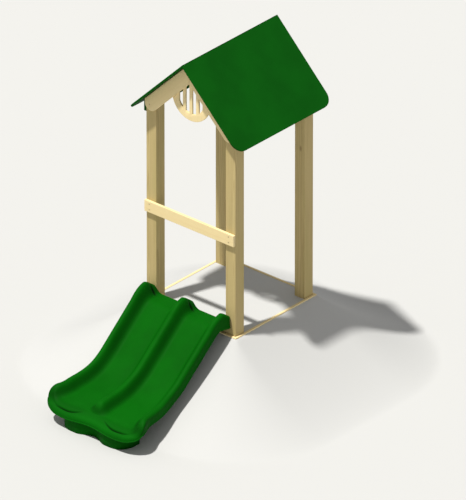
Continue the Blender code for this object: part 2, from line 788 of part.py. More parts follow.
def fix_sun_panel(panel, boards, finish):
    """Four screws from behind, through the panel's rim into the gable boards."""
    rear = FACE_Y + CLEAR + SUN_THICK
    for side, sign in (("left", -1), ("right", 1)):
        for level, x in SUN_SCREWS:
            lift = math.sqrt((SUN_RADIUS - SUN_RING / 2) ** 2 - x**2)
            point = (sign * x, rear, SUN_Z + lift)
            held = (panel, boards[f"gable_board_front_{side}"])
            length = SUN_THICK + GABLE_THICK * 0.7
            screw(f"sun_panel_screw_{side}_{level}", point, "-Y", length, held, finish)


def fix_ground_boards(boards, posts, finish):
    """One screw at each end of each board, below the mound's top."""
    level = GRADE - GROUND_SCREW_DEPTH
    across = HALF_WIDTH - POST / 2
    outer = CLEAR + GROUND_BOARD_THICK
    for side, sign in (("left", -1), ("right", 1)):
        for end, face, direction in (("front", FACE_Y - outer, "+Y"), ("rear", REAR_Y + outer, "-Y")):
            held = (boards[f"ground_board_{end}"], posts[f"post_{end}_{side}"])
            point = (sign * across, face, level)
            screw(f"ground_screw_{end}_{side}", point, direction, SHORT_SCREW, held, finish)
            depth = FACE_Y + POST / 2 if end == "front" else REAR_Y - POST / 2
            held = (boards[f"ground_board_{side}"], posts[f"post_{end}_{side}"])
            point = (sign * (HALF_WIDTH + outer), depth, level - GROUND_SCREW_STEP)
            inward = "-X" if sign > 0 else "+X"
            screw(f"ground_screw_{side}_{end}", point, inward, SHORT_SCREW, held, finish)


def fix_eave_boards(boards, posts, finish):
    """One screw into each post."""
    for side, sign in (("left", -1), ("right", 1)):
        outer = HALF_WIDTH + CLEAR + EAVE_BOARD_THICK
        level = under_roof(outer) - EAVE_BOARD_HEIGHT / 2
        inward = "-X" if sign > 0 else "+X"
        for end, depth in (("front", FACE_Y + POST / 2), ("rear", REAR_Y - POST / 2)):
            held = (boards[f"eave_board_{side}"], posts[f"post_{end}_{side}"])
            point = (sign * outer, depth, level)
            screw(f"eave_screw_{side}_{end}", point, inward, SHORT_SCREW, held, finish)


def fix_bearer(bearer, posts, finish):
    """One long screw through each front post into the bearer's end."""
    level = GRADE + BEARER_TOP - BEARER_HEIGHT / 2
    for side, sign in (("left", -1), ("right", 1)):
        held = (bearer, posts[f"post_front_{side}"])
        inward = "-X" if sign > 0 else "+X"
        point = (sign * HALF_WIDTH, FACE_Y + BEARER_DEPTH * 0.6, level)
        screw(f"bearer_screw_{side}", point, inward, POST + BEARER_SCREW_GRIP, held, finish)


def fix_chute(chute, bearer, foot, steel):
    """Three bolts from the chute's hollow back into the bearer, and two screws up from the foot."""
    level = GRADE + (DECK_RISE - FLANGE_DROP + BEARER_TOP) / 2
    for name, x in (("left", -BOLT_SPREAD), ("middle", 0.0), ("right", BOLT_SPREAD)):
        head = (x, FACE_Y - CLEAR - WALL - CLEAR, level)
        nut = (x, FACE_Y + BEARER_DEPTH, level)
        bolt_and_nut(f"slide_bolt_{name}", head, nut, (chute, bearer), steel)
    reach, height = lane_profile()[1:3]
    place = SLIDE_REACH - FOOT_SCREW_SET_BACK
    under = float(np.interp(place, reach, height)) - (WALL + FOOT_WALL) / math.cos(math.radians(RUNOUT_SLOPE))
    for name, x in (("left", -FOOT_SCREW_SPREAD), ("right", FOOT_SCREW_SPREAD)):
        point = (x, FACE_Y - place, under - FOOT_SCREW_GAP)
        screw(f"foot_screw_{name}", point, "+Z", FOOT_WALL + WALL * 0.65, (foot, chute), steel)


# ---- Assembly -------------------------------------------------------------


def clear_scene():
    """Removes whatever the scene holds."""
    for existing in list(bpy.data.objects):
        bpy.data.objects.remove(existing, do_unlink=True)


def main():
    """Builds every piece and its fixings."""
    clear_scene()
    timber = material("treated_timber", (0.52, 0.40, 0.16), 0.75)
    board = material("pale_board", (0.83, 0.68, 0.31), 0.60)
    green_sheet = material("green_sheet", (0.007, 0.107, 0.006), 0.45)
    moulding = material("green_moulding", (0.004, 0.165, 0.004), 0.30)
    steel = material("zinc_steel", (0.55, 0.56, 0.57), 0.40, 1.0)
    posts = make_posts(timber)
    ground = make_ground_boards(board)
    bearer = make_bearer(timber)
    rail = make_guard_rail(board)
    gables = make_gables(board)
    panel = make_sun_panel(board)
    eaves = make_eave_boards(green_sheet)
    batten = make_ridge_batten(timber)
    make_roof(green_sheet)
    chute = make_chute(moulding)
    foot = make_foot(moulding)
    fix_guard_rail(rail, posts, steel)
    fix_gables(gables, posts, batten, panel, steel)
    fix_sun_panel(panel, gables, steel)
    fix_ground_boards(ground, posts, steel)
    fix_eave_boards(eaves, posts, steel)
    fix_bearer(bearer, posts, steel)
    fix_chute(chute, bearer, foot, steel)


main()
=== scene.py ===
"""Looks of a play tower with a double-lane wave slide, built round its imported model.

The tower stands on the top of a mound: four sawn posts, pale boards and two
green roof sheets. The moulded slide hangs from the tower's front and stands on
a moulded foot. Everything is in metres, +Z up, and the slide runs towards -Y.
"""

from __future__ import annotations

import logging
import math
from collections.abc import Callable, Sequence
from dataclasses import dataclass, field
from enum import Enum

import bpy
import numpy as np
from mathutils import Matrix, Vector


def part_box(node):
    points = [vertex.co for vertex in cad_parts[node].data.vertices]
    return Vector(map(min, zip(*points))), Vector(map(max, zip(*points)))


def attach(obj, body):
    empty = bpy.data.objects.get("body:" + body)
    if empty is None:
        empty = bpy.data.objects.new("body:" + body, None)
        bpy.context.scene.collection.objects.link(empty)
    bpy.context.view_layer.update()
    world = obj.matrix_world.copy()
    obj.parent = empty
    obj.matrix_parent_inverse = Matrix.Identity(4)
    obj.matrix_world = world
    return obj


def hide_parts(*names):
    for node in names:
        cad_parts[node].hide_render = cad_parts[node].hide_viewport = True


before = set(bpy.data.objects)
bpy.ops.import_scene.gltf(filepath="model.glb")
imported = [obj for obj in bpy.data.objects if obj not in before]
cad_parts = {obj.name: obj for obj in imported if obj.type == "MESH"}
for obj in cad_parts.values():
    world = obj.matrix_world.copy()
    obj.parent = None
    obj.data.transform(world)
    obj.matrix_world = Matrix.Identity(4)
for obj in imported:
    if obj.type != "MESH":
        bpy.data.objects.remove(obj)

LOG = logging.getLogger("wave_slide")
BODY = "root"
PICTURE_HEIGHT = 500
# Painted shade: the moulding's material darkens its colour where this attribute marks grooves, folds and
# the feet of walls.
PAINTED_SHADE_MARK = "hollow"  # the point attribute that marks grooves, folds and the feet of walls

Colour = tuple[float, float, float]
Place = Callable[[np.ndarray], np.ndarray]


class Axis(Enum):
    """The direction in which a board's grain runs."""

    X = "X"
    Y = "Y"
    Z = "Z"


class Side(Enum):
    """Left or right of the middle line, for someone who faces the tower."""

    LEFT = -1
    RIGHT = 1

    @property
    def word(self) -> str:
        """The side's name in lower case."""
        return self.name.lower()


class End(Enum):
    """The tower's front, over the slide, or its rear."""

    FRONT = -1
    REAR = 1

    @property
    def word(self) -> str:
        """The end's name in lower case."""
        return self.name.lower()


# ---- Meshes ---------------------------------------------------------------

FLAT_GUARD = 0.4  # from an arc's end to the next point on the flat, as a share of the arc's radius
FACE_GUARD = 1.6  # from a rounded arris to the ring that keeps the face flat, as a share of its radius

def smooth_step(value: np.ndarray) -> np.ndarray:
    """0 below 0, 1 above 1, and half a cosine wave between."""
    return 0.5 - 0.5 * np.cos(np.pi * np.clip(value, 0.0, 1.0))


def ring_quads(rings: int, around: int, closed: bool = True) -> np.ndarray:
    """Faces between successive rings of points.

    Args:
        rings: How many rings there are.
        around: How many points each ring has.
        closed: Whether a ring's last point joins its first.

    Returns:
        Rows of four point numbers.
    """
    ring = np.arange(rings - 1)[:, None]
    point = np.arange(around if closed else around - 1)[None, :]
    following = (point + 1) % around
    corners = [ring * around + point, ring * around + following]
    corners += [(ring + 1) * around + following, (ring + 1) * around + point]
    return np.stack(np.broadcast_arrays(*corners), axis=-1).reshape(-1, 4)


def make_piece(
    name: str,
    points: np.ndarray,
    faces: Sequence[Sequence[int]],
    sharp: float = 40.0,
) -> bpy.types.Object:
    """A smooth-shaded mesh object at the origin, its faces turned outwards.

    Args:
        name: The piece's name.
        points: Its points, one row each, in place.
        faces: Point numbers of each face.
        sharp: The angle in degrees past which an edge stays sharp.

    Returns:
        The new object, linked to the scene.
    """
    mesh = bpy.data.meshes.new(name)
    mesh.from_pydata(np.asarray(points, float).reshape(-1, 3).tolist(), [], [list(f) for f in faces])
    mesh.update()
    piece = bpy.data.objects.new(name, mesh)
    bpy.context.scene.collection.objects.link(piece)
    turn_outwards(piece)
    mesh.shade_smooth()
    mesh.set_sharp_from_angle(angle=math.radians(sharp))
    return piece


def turn_outwards(piece: bpy.types.Object) -> None:
    """Turns a closed mesh's faces outwards.

    The sum of the triple products of its triangles' corners is six times the
    volume that they enclose, and a negative sum means that they face inwards.

    Args:
        piece: The piece, whose faces already agree with one another.
    """
    mesh = piece.data
    mesh.calc_loop_triangles()
    points = np.empty(len(mesh.vertices) * 3)
    mesh.vertices.foreach_get("co", points)
    corners = np.empty(len(mesh.loop_triangles) * 3, np.int32)
    mesh.loop_triangles.foreach_get("vertices", corners)
    a, b, c = points.reshape(-1, 3)[corners.reshape(-1, 3)].transpose(1, 0, 2)
    if np.einsum("ij,ij->i", a, np.cross(b, c)).sum() < 0:
        mesh.flip_normals()


def rounded_outline(corners: np.ndarray, radii: Sequence[float], steps: int = 6) -> np.ndarray:
    """An outline with an arc at each corner.

    Each arc touches both sides of its corner. One more point stands just past
    each end of the arc, so that the straight sides are shaded flat.

    Args:
        corners: Corner points, one row each, in order round the outline.
        radii: The radius at each corner.
        steps: Straight pieces in each arc.

    Returns:
        Points round the outline, one row each.
    """
    corners = np.asarray(corners, float)
    radii = np.asarray(radii, float)[:, None]
    before = np.roll(corners, 1, axis=0) - corners
    after = np.roll(corners, -1, axis=0) - corners
    before /= np.linalg.norm(before, axis=1, keepdims=True)
    after /= np.linalg.norm(after, axis=1, keepdims=True)
    half = np.arccos(np.clip((before * after).sum(1, keepdims=True), -1, 1)) / 2
    reach = radii / np.tan(half)
    middle = before + after
    middle /= np.linalg.norm(middle, axis=1, keepdims=True)
    centre = corners + middle * radii / np.sin(half)
    start = corners + before * reach - centre
    turn = np.sign(before[:, :1] * after[:, 1:] - before[:, 1:] * after[:, :1]) * (np.pi - 2 * half)
    angle = -turn * np.linspace(0, 1, steps + 1)[None, :]
    cosine, sine = np.cos(angle), np.sin(angle)
    arc_x = centre[:, :1] + start[:, :1] * cosine - start[:, 1:] * sine
    arc_y = centre[:, 1:] + start[:, :1] * sine + start[:, 1:] * cosine
    arc = np.stack([arc_x, arc_y], axis=-1)
    lead = arc[:, :1] + (before * radii * FLAT_GUARD)[:, None, :]
    tail = arc[:, -1:] + (after * radii * FLAT_GUARD)[:, None, :]
    return np.concatenate([lead, arc, tail], axis=1).reshape(-1, 2)


def inset_outline(outline: np.ndarray, inset: float) -> np.ndarray:
    """An outline moved inwards.

    Each point moves along the mean of its two sides' normals, divided by one plus
    their product, so that every side keeps its distance.

    Args:
        outline: Points round the outline, one row each.
        inset: How far the sides move.

    Returns:
        The moved points.
    """
    ahead = np.roll(outline, -1, axis=0) - outline
    ahead /= np.linalg.norm(ahead, axis=1, keepdims=True)
    behind = np.roll(ahead, 1, axis=0)
    area = (outline[:, 0] * np.roll(outline[:, 1], -1) - outline[:, 1] * np.roll(outline[:, 0], -1)).sum()
    turn = 1.0 if area > 0 else -1.0
    left = np.stack([-ahead[:, 1], ahead[:, 0]], axis=1) * turn
    left_behind = np.stack([-behind[:, 1], behind[:, 0]], axis=1) * turn
    mitre = (left + left_behind) / (1 + (left * left_behind).sum(1, keepdims=True))
    return outline + mitre * inset


def rounded_plate(
    name: str,
    outline: np.ndarray,
    thick: float,
    rounding: float,
    place: Place,
    steps: int = 4,
    sharp: float = 40.0,
) -> bpy.types.Object:
    """A flat piece with rounded arrises, such as a board, a sheet or a post.

    The outline is carried along its own normal. Near both faces it follows a
    quarter circle inwards, and a further ring inside each face keeps the face flat.

    Args:
        name: The piece's name.
        outline: Points round the piece, one row each.
        thick: Its length along the normal.
        rounding: Radius of its arrises.
        place: Turns rows of (first, second, normal) coordinates into their place.
        steps: Straight pieces in each quarter circle.
        sharp: The angle in degrees past which an edge stays sharp.

    Returns:
        The new object.
    """
    quarter = np.linspace(0, np.pi / 2, steps + 1)
    inset = rounding * (1 - np.sin(quarter))
    rise = rounding * (1 - np.cos(quarter))
    guard = [FACE_GUARD * rounding]
    insets = np.concatenate([guard, inset, [0], [0], inset[::-1], guard])
    levels = np.concatenate([[0], rise, guard])
    levels = np.concatenate([levels, thick - levels[::-1]])
    rings = np.stack([inset_outline(outline, amount) for amount in insets])
    heights = np.broadcast_to(levels[:, None, None], (*rings.shape[:2], 1))
    points = place(np.concatenate([rings, heights], axis=-1).reshape(-1, 3))
    around = len(outline)
    faces = ring_quads(len(rings), around).tolist()
    last = (len(rings) - 1) * around
    faces.append(list(range(around))[::-1])
    faces.append(list(range(last, last + around)))
    return make_piece(name, points, faces, sharp)


def along_y(offset: float) -> Place:
    """Places a plate's outline in (x, z), with its thickness along +Y from an offset."""
    return lambda p: np.stack([p[:, 0], offset + p[:, 2], p[:, 1]], axis=1)


def rectangle(low: Sequence[float], high: Sequence[float]) -> np.ndarray:
    """The four corners of a rectangle."""
    return np.array([(low[0], low[1]), (high[0], low[1]), (high[0], high[1]), (low[0], high[1])])


# ---- Shader nodes ---------------------------------------------------------


class Nodes:
    """Adds nodes to one shader tree and links them."""

    def __init__(self, tree: bpy.types.NodeTree) -> None:
        """Keeps the tree."""
        self.tree = tree

    def add(self, kind: str, inputs: dict | None = None, **settings: object) -> bpy.types.Node:
        """One node, with its settings made and its inputs set or linked.

        Args:
            kind: The node's type name without its ShaderNode start.
            inputs: For each input's name or number, a value or a socket.
            settings: The node's own properties.

        Returns:
            The new node.
        """
        node = self.tree.nodes.new("ShaderNode" + kind)
        for key, value in settings.items():
            setattr(node, key, value)
        for key, value in (inputs or {}).items():
            if isinstance(value, bpy.types.NodeSocket):
                self.tree.links.new(value, node.inputs[key])
            else:
                node.inputs[key].default_value = value
        return node

    def math(self, operation: str, *values: object, clamp: bool = False) -> bpy.types.NodeSocket:
        """The result of a Math node."""
        inputs = dict(enumerate(values))
        return self.add("Math", inputs, operation=operation, use_clamp=clamp).outputs[0]

    def mix(self, share: object, low: object, high: object, blend: str = "MIX") -> bpy.types.NodeSocket:
        """A colour between two colours."""
        inputs = {"Factor": share, 6: low, 7: high}
        return self.add("Mix", inputs, data_type="RGBA", blend_type=blend).outputs[2]

    def noise(
        self,
        vector: object,
        scale: float,
        detail: float = 3.0,
        rough: float = 0.5,
    ) -> bpy.types.NodeSocket:
        """A noise value round one half."""
        inputs = {"Vector": vector, "Scale": scale, "Detail": detail, "Roughness": rough}
        return self.add("TexNoise", inputs).outputs["Fac"]

    def stretch(self, vector: object, scale: Sequence[float]) -> bpy.types.NodeSocket:
        """A vector multiplied part by part."""
        return self.add("VectorMath", {0: vector, 1: tuple(scale)}, operation="MULTIPLY").outputs[0]

    def remap(
        self,
        value: object,
        low: float,
        high: float,
        out_low: float = 0.0,
        out_high: float = 1.0,
    ) -> bpy.types.NodeSocket:
        """A value moved from one range to another, held at both ends and eased between."""
        inputs = {"Value": value, "From Min": low, "From Max": high, "To Min": out_low, "To Max": out_high}
        return self.add("MapRange", inputs, interpolation_type="SMOOTHSTEP").outputs["Result"]


class SharedEffects:
    """Node groups that more than one finish uses, each made once."""

    def __init__(self) -> None:
        """Makes every group."""
        self.grain = self._grain()
        self.skin = self._skin()

    @staticmethod
    def _group(
        name: str,
        inputs: dict[str, object],
        outputs: dict[str, str],
    ) -> tuple[bpy.types.NodeTree, Nodes, bpy.types.Node, bpy.types.Node]:
        """An empty group with named sockets.

        Args:
            name: The group's name.
            inputs: For each input, its start value, or None for a vector.
            outputs: For each output, its kind of socket.

        Returns:
            The tree, a node maker for it, its input node and its output node.
        """
        tree = bpy.data.node_groups.new(name, "ShaderNodeTree")
        for label, value in inputs.items():
            kind = "Vector" if value is None else "Float" if isinstance(value, float) else "Color"
            socket = tree.interface.new_socket(name=label, in_out="INPUT", socket_type=f"NodeSocket{kind}")
            if value is not None:
                socket.default_value = value
        for label, kind in outputs.items():
            tree.interface.new_socket(name=label, in_out="OUTPUT", socket_type=f"NodeSocket{kind}")
        return tree, Nodes(tree), tree.nodes.new("NodeGroupInput"), tree.nodes.new("NodeGroupOutput")

    def _grain(self) -> bpy.types.NodeTree:
        """Grain of sawn timber that runs along the vector's Z.

        Year rings are the distance from the heart, bent by slow noise and cut into
        bands. Streaks are noise drawn out along the length, fibres the same but fine,
        and a knot is the middle of a cell that only a few cells keep.

        Returns:
            The group.
        """
        inputs = {"Vector": None, "Light": (0.6, 0.5, 0.3, 1.0), "Dark": (0.4, 0.3, 0.15, 1.0),
                  "Tint": (0.4, 0.4, 0.2, 1.0), "Rings": 160.0, "Contrast": 0.5, "Knots": 0.5}
        outputs = {"Colour": "Color", "Height": "Float", "Roughness": "Float"}
        tree, make, given, result = self._group("timber_grain", inputs, outputs)
        vector = given.outputs["Vector"]
        drawn = make.stretch(vector, (1, 1, 0.22))
        slow = make.add("TexNoise", {"Vector": drawn, "Scale": 5.0, "Detail": 2.0})
        bend = make.add("VectorMath", {0: slow.outputs["Color"], 1: (0.5, 0.5, 0.5)}, operation="SUBTRACT")
        bend = make.add("VectorMath", {0: bend.outputs[0], "Scale": 0.035}, operation="SCALE")
        flat = make.stretch(vector, (1, 1, 0.012))
        bent = make.add("VectorMath", {0: flat, 1: bend.outputs[0]}, operation="ADD")
        heart = make.add("VectorMath", {0: bent.outputs[0]}, operation="LENGTH").outputs["Value"]
        ring = make.math("FRACT", make.math("MULTIPLY", heart, given.outputs["Rings"]))
        late = make.math("MULTIPLY", make.remap(ring, 0.35, 0.9), make.remap(ring, 1.0, 0.93))
        fibre = make.noise(make.stretch(vector, (1, 1, 0.03)), 620.0, 4.0, 0.65)
        streak = make.noise(make.stretch(vector, (1, 1, 0.035)), 42.0, 3.0, 0.6)
        broad = make.noise(make.stretch(vector, (1, 1, 0.12)), 9.0, 2.0, 0.5)
        cell = {"Vector": make.stretch(vector, (1, 1, 0.45)), "Scale": 7.0, "Randomness": 1.0}
        knots = make.add("TexVoronoi", cell)
        drawn_lot = make.add("SeparateColor", {0: knots.outputs["Color"]}).outputs[0]
        kept = make.math("GREATER_THAN", drawn_lot, 0.72)
        knot = make.math("MULTIPLY", make.remap(knots.outputs["Distance"], 0.11, 0.03), kept)
        knot = make.math("MULTIPLY", knot, given.outputs["Knots"])
        dark = make.math("MULTIPLY", late, given.outputs["Contrast"])
        streaks = make.math("MULTIPLY", make.remap(streak, 0.5, 0.75), 0.30)
        dark = make.math("ADD", dark, streaks, clamp=True)
        fibres = make.math("MULTIPLY", make.remap(fibre, 0.5, 0.8), 0.18)
        dark = make.math("ADD", dark, fibres, clamp=True)
        colour = make.mix(dark, given.outputs["Light"], given.outputs["Dark"])
        colour = make.mix(make.remap(broad, 0.46, 0.68, 0.0, 0.45), colour, given.outputs["Tint"])
        deep = make.mix(1.0, given.outputs["Dark"], (0.42, 0.30, 0.22, 1.0), "MULTIPLY")
        colour = make.mix(knot, colour, deep)
        height = make.math("ADD", make.math("MULTIPLY", fibre, 0.6), make.math("MULTIPLY", late, 0.4))
        rough = make.math("ADD", 0.62, make.math("MULTIPLY", fibre, 0.2))
        tree.links.new(colour, result.inputs["Colour"])
        tree.links.new(height, result.inputs["Height"])
        tree.links.new(rough, result.inputs["Roughness"])
        return tree

    def _skin(self) -> bpy.types.NodeTree:
        """Skin of moulded or pressed plastic.

        A fine and a coarser noise make the pebbled surface, slow noise makes the
        colour drift, and noise drawn out along the vector's Y and Z makes hair scratches.

        Returns:
            The group.
        """
        inputs = {"Vector": None, "Pebble": 900.0, "Scratches": 0.2}
        outputs = {"Height": "Float", "Drift": "Float", "Scratch": "Float"}
        tree, make, given, result = self._group("plastic_skin", inputs, outputs)
        vector = given.outputs["Vector"]
        pebble = make.add("TexNoise", {"Vector": vector, "Scale": given.outputs["Pebble"], "Detail": 2.0})
        coarse = make.noise(vector, 60.0, 2.0, 0.5)
        drift = make.noise(vector, 3.2, 3.0, 0.55)
        hair = make.noise(make.stretch(vector, (1, 0.02, 0.02)), 520.0, 2.0, 0.6)
        patch = make.noise(vector, 6.0, 2.0, 0.5)
        scratch = make.math("MULTIPLY", make.remap(hair, 0.66, 0.74), make.remap(patch, 0.45, 0.65))
        scratch = make.math("MULTIPLY", scratch, given.outputs["Scratches"])
        fine_half = make.math("MULTIPLY", pebble.outputs["Fac"], 0.5)
        height = make.math("ADD", fine_half, make.math("MULTIPLY", coarse, 0.5))
        height = make.math("SUBTRACT", height, make.math("MULTIPLY", scratch, 0.4))
        tree.links.new(height, result.inputs["Height"])
        tree.links.new(drift, result.inputs["Drift"])
        tree.links.new(scratch, result.inputs["Scratch"])
        return tree


@dataclass(frozen=True)
class Timber:
    """Sawn or planed timber.

    Attributes:
        name: The finish's name.
        light: Colour of the early wood.
        dark: Colour of the late wood.
        tint: Colour of the broad stains.
        rings: Year rings in each metre from the heart.
        contrast: How dark the late wood is.
        knots: How strong the knots are.
        relief: Depth of the grain, as a bump distance.
    """

    name: str
    light: Colour
    dark: Colour
    tint: Colour
    rings: float = 150.0
    contrast: float = 0.45
    knots: float = 0.6
    relief: float = 0.0006

    def make(
        self,
        effects: SharedEffects,
        axis: Axis,
        turn: float = 0.0,
        shift: tuple[float, float, float] = (0.0, 0.0, 0.0),
    ) -> bpy.types.Material:
        """The material for a board whose grain runs along an axis.

        Args:
            effects: The shared node groups.
            axis: The grain's direction.
            turn: A further turn about Y in radians, for a sloping board.
            shift: Where the heart of the tree lies, moved to the origin.

        Returns:
            The material.
        """
        material, make, shader = new_material(f"{self.name}_{axis.value}_{round(math.degrees(turn))}")
        place = make.add("TexCoord").outputs["Object"]
        turns = {
            Axis.X: (0.0, math.pi / 2, 0.0),
            Axis.Y: (math.pi / 2, 0.0, 0.0),
            Axis.Z: (0.0, turn, 0.0),
        }
        moved = make.add("VectorMath", {0: place, 1: shift}, operation="SUBTRACT").outputs[0]
        mapping = make.add("Mapping", {"Vector": moved, "Rotation": turns[axis]}, vector_type="POINT")
        grain = make.add("Group", node_tree=effects.grain)
        make.tree.links.new(mapping.outputs[0], grain.inputs["Vector"])
        for label, value in (("Light", self.light), ("Dark", self.dark), ("Tint", self.tint)):
            grain.inputs[label].default_value = (*value, 1.0)
        grain.inputs["Rings"].default_value = self.rings
        grain.inputs["Contrast"].default_value = self.contrast
        grain.inputs["Knots"].default_value = self.knots
        relief = {"Height": grain.outputs["Height"], "Distance": self.relief, "Strength": 0.7}
        bump = make.add("Bump", relief)
        make.tree.links.new(grain.outputs["Colour"], shader.inputs["Base Color"])
        make.tree.links.new(grain.outputs["Roughness"], shader.inputs["Roughness"])
        make.tree.links.new(bump.outputs[0], shader.inputs["Normal"])
        shader.inputs["Specular IOR Level"].default_value = 0.3
        return material


@dataclass(frozen=True)
class Plastic:
    """Moulded or pressed coloured plastic.

    Attributes:
        name: The finish's name.
        colour: Its body colour.
        worn: The paler colour of scratches.
        roughness: Mean roughness.
        pebble: Pebbles of the skin in each metre.
        relief: Their depth, as a bump distance.
        scratches: How strong the hair scratches are.
        specular: Specular level.
        hollow: How much painted shade darkens the colour in the hollows that the mesh marks.
    """

    name: str
    colour: Colour
    worn: Colour
    roughness: float
    pebble: float = 700.0
    relief: float = 0.0004
    scratches: float = 0.2
    specular: float = 0.35
    hollow: float = 0.0

    def make(self, effects: SharedEffects) -> bpy.types.Material:
        """The material.

        Args:
            effects: The shared node groups.

        Returns:
            The new material.
        """
        material, make, shader = new_material(self.name)
        place = make.add("TexCoord").outputs["Object"]
        skin = make.add("Group", node_tree=effects.skin)
        make.tree.links.new(place, skin.inputs["Vector"])
        skin.inputs["Pebble"].default_value = self.pebble
        skin.inputs["Scratches"].default_value = self.scratches
        drift = make.remap(skin.outputs["Drift"], 0.3, 0.7)
        deep = tuple(part * 0.90 for part in self.colour)
        bright = tuple(part * 1.08 for part in self.colour)
        colour = make.mix(drift, (*deep, 1.0), (*bright, 1.0))
        colour = make.mix(skin.outputs["Scratch"], colour, (*self.worn, 1.0))
        # Painted shade: where the mesh marks grooves, folds and the feet of walls, the colour is drawn
        # towards near black.
        if self.hollow:
            painted_shade_mask = make.add("Attribute", attribute_name=PAINTED_SHADE_MARK).outputs["Fac"]
            shaded = make.math("MULTIPLY", painted_shade_mask, self.hollow, clamp=True)
            colour = make.mix(shaded, colour, (0.0006, 0.006, 0.0006, 1.0))
        rough = make.remap(skin.outputs["Drift"], 0.3, 0.7, self.roughness - 0.04, self.roughness + 0.05)
        rough = make.math("ADD", rough, make.math("MULTIPLY", skin.outputs["Scratch"], 0.25), clamp=True)
        relief = {"Height": skin.outputs["Height"], "Distance": self.relief, "Strength": 0.5}
        bump = make.add("Bump", relief)
        make.tree.links.new(colour, shader.inputs["Base Color"])
        make.tree.links.new(rough, shader.inputs["Roughness"])
        make.tree.links.new(bump.outputs[0], shader.inputs["Normal"])
        shader.inputs["Specular IOR Level"].default_value = self.specular
        return material


@dataclass(frozen=True)
class Steel:
    """Zinc-plated steel, or the same under a coloured coat.

    Attributes:
        name: The finish's name.
        colour: Its mean colour.
        metallic: 1 for bare metal, 0 for a coat.
        roughness: Mean roughness.
    """

    name: str
    colour: Colour
    metallic: float
    roughness: float

    def make(self) -> bpy.types.Material:
        """The material.

        Returns:
            The new material.
        """
        material, make, shader = new_material(self.name)
        place = make.add("TexCoord").outputs["Object"]
        fine = make.noise(place, 1400.0, 3.0, 0.6)
        patch = make.noise(place, 180.0, 2.0, 0.5)
        dark = tuple(part * 0.78 for part in self.colour)
        colour = make.mix(make.remap(patch, 0.35, 0.65), (*dark, 1.0), (*self.colour, 1.0))
        rough = make.remap(fine, 0.3, 0.7, self.roughness - 0.08, self.roughness + 0.1)
        bump = make.add("Bump", {"Height": fine, "Distance": 0.0001, "Strength": 0.4})
        make.tree.links.new(colour, shader.inputs["Base Color"])
        make.tree.links.new(rough, shader.inputs["Roughness"])
        make.tree.links.new(bump.outputs[0], shader.inputs["Normal"])
        shader.inputs["Metallic"].default_value = self.metallic
        return material


def new_material(name: str) -> tuple[bpy.types.Material, Nodes, bpy.types.Node]:
    """An empty material.

    Args:
        name: The material's name.

    Returns:
        The material, a node maker for its tree, and its Principled node.
    """
    material = bpy.data.materials.new(name)
    material.use_nodes = True
    shader = material.node_tree.nodes["Principled BSDF"]
    return material, Nodes(material.node_tree), shader


def dress(piece: bpy.types.Object, material: bpy.types.Material) -> None:
    """Gives a piece one material."""
    piece.data.materials.clear()
    piece.data.materials.append(material)


# ---- Finishes -------------------------------------------------------------

POST_TIMBER = Timber("post_timber", (0.52, 0.410, 0.185), (0.34, 0.240, 0.092), (0.42, 0.345, 0.13),
                     rings=120.0, contrast=0.40, knots=0.5, relief=0.0008)
PALE_TIMBER = Timber("pale_timber", (0.82, 0.665, 0.36), (0.70, 0.535, 0.250), (0.78, 0.615, 0.31),
                     rings=150.0, contrast=0.35, knots=0.25, relief=0.0004)
ROOF_SHEET = Plastic("roof_sheet", (0.0026, 0.070, 0.0034), (0.010, 0.105, 0.012), 0.66, pebble=1100.0,
                     relief=0.0002, scratches=0.10, specular=0.03)
# The moulding's hollow setting paints shade into the grooves, folds and steep wall parts that the chute
# marks.
MOULDING = Plastic("moulded_skin", (0.0016, 0.084, 0.0020), (0.010, 0.115, 0.010), 0.60, pebble=620.0,
                   relief=0.0003, scratches=0.18, specular=0.025, hollow=0.95)
ZINC = Steel("zinc_steel", (0.56, 0.57, 0.58), 1.0, 0.38)
COATED = Steel("tan_coated_screw", (0.60, 0.47, 0.24), 0.0, 0.5)


# ---- Tower ----------------------------------------------------------------


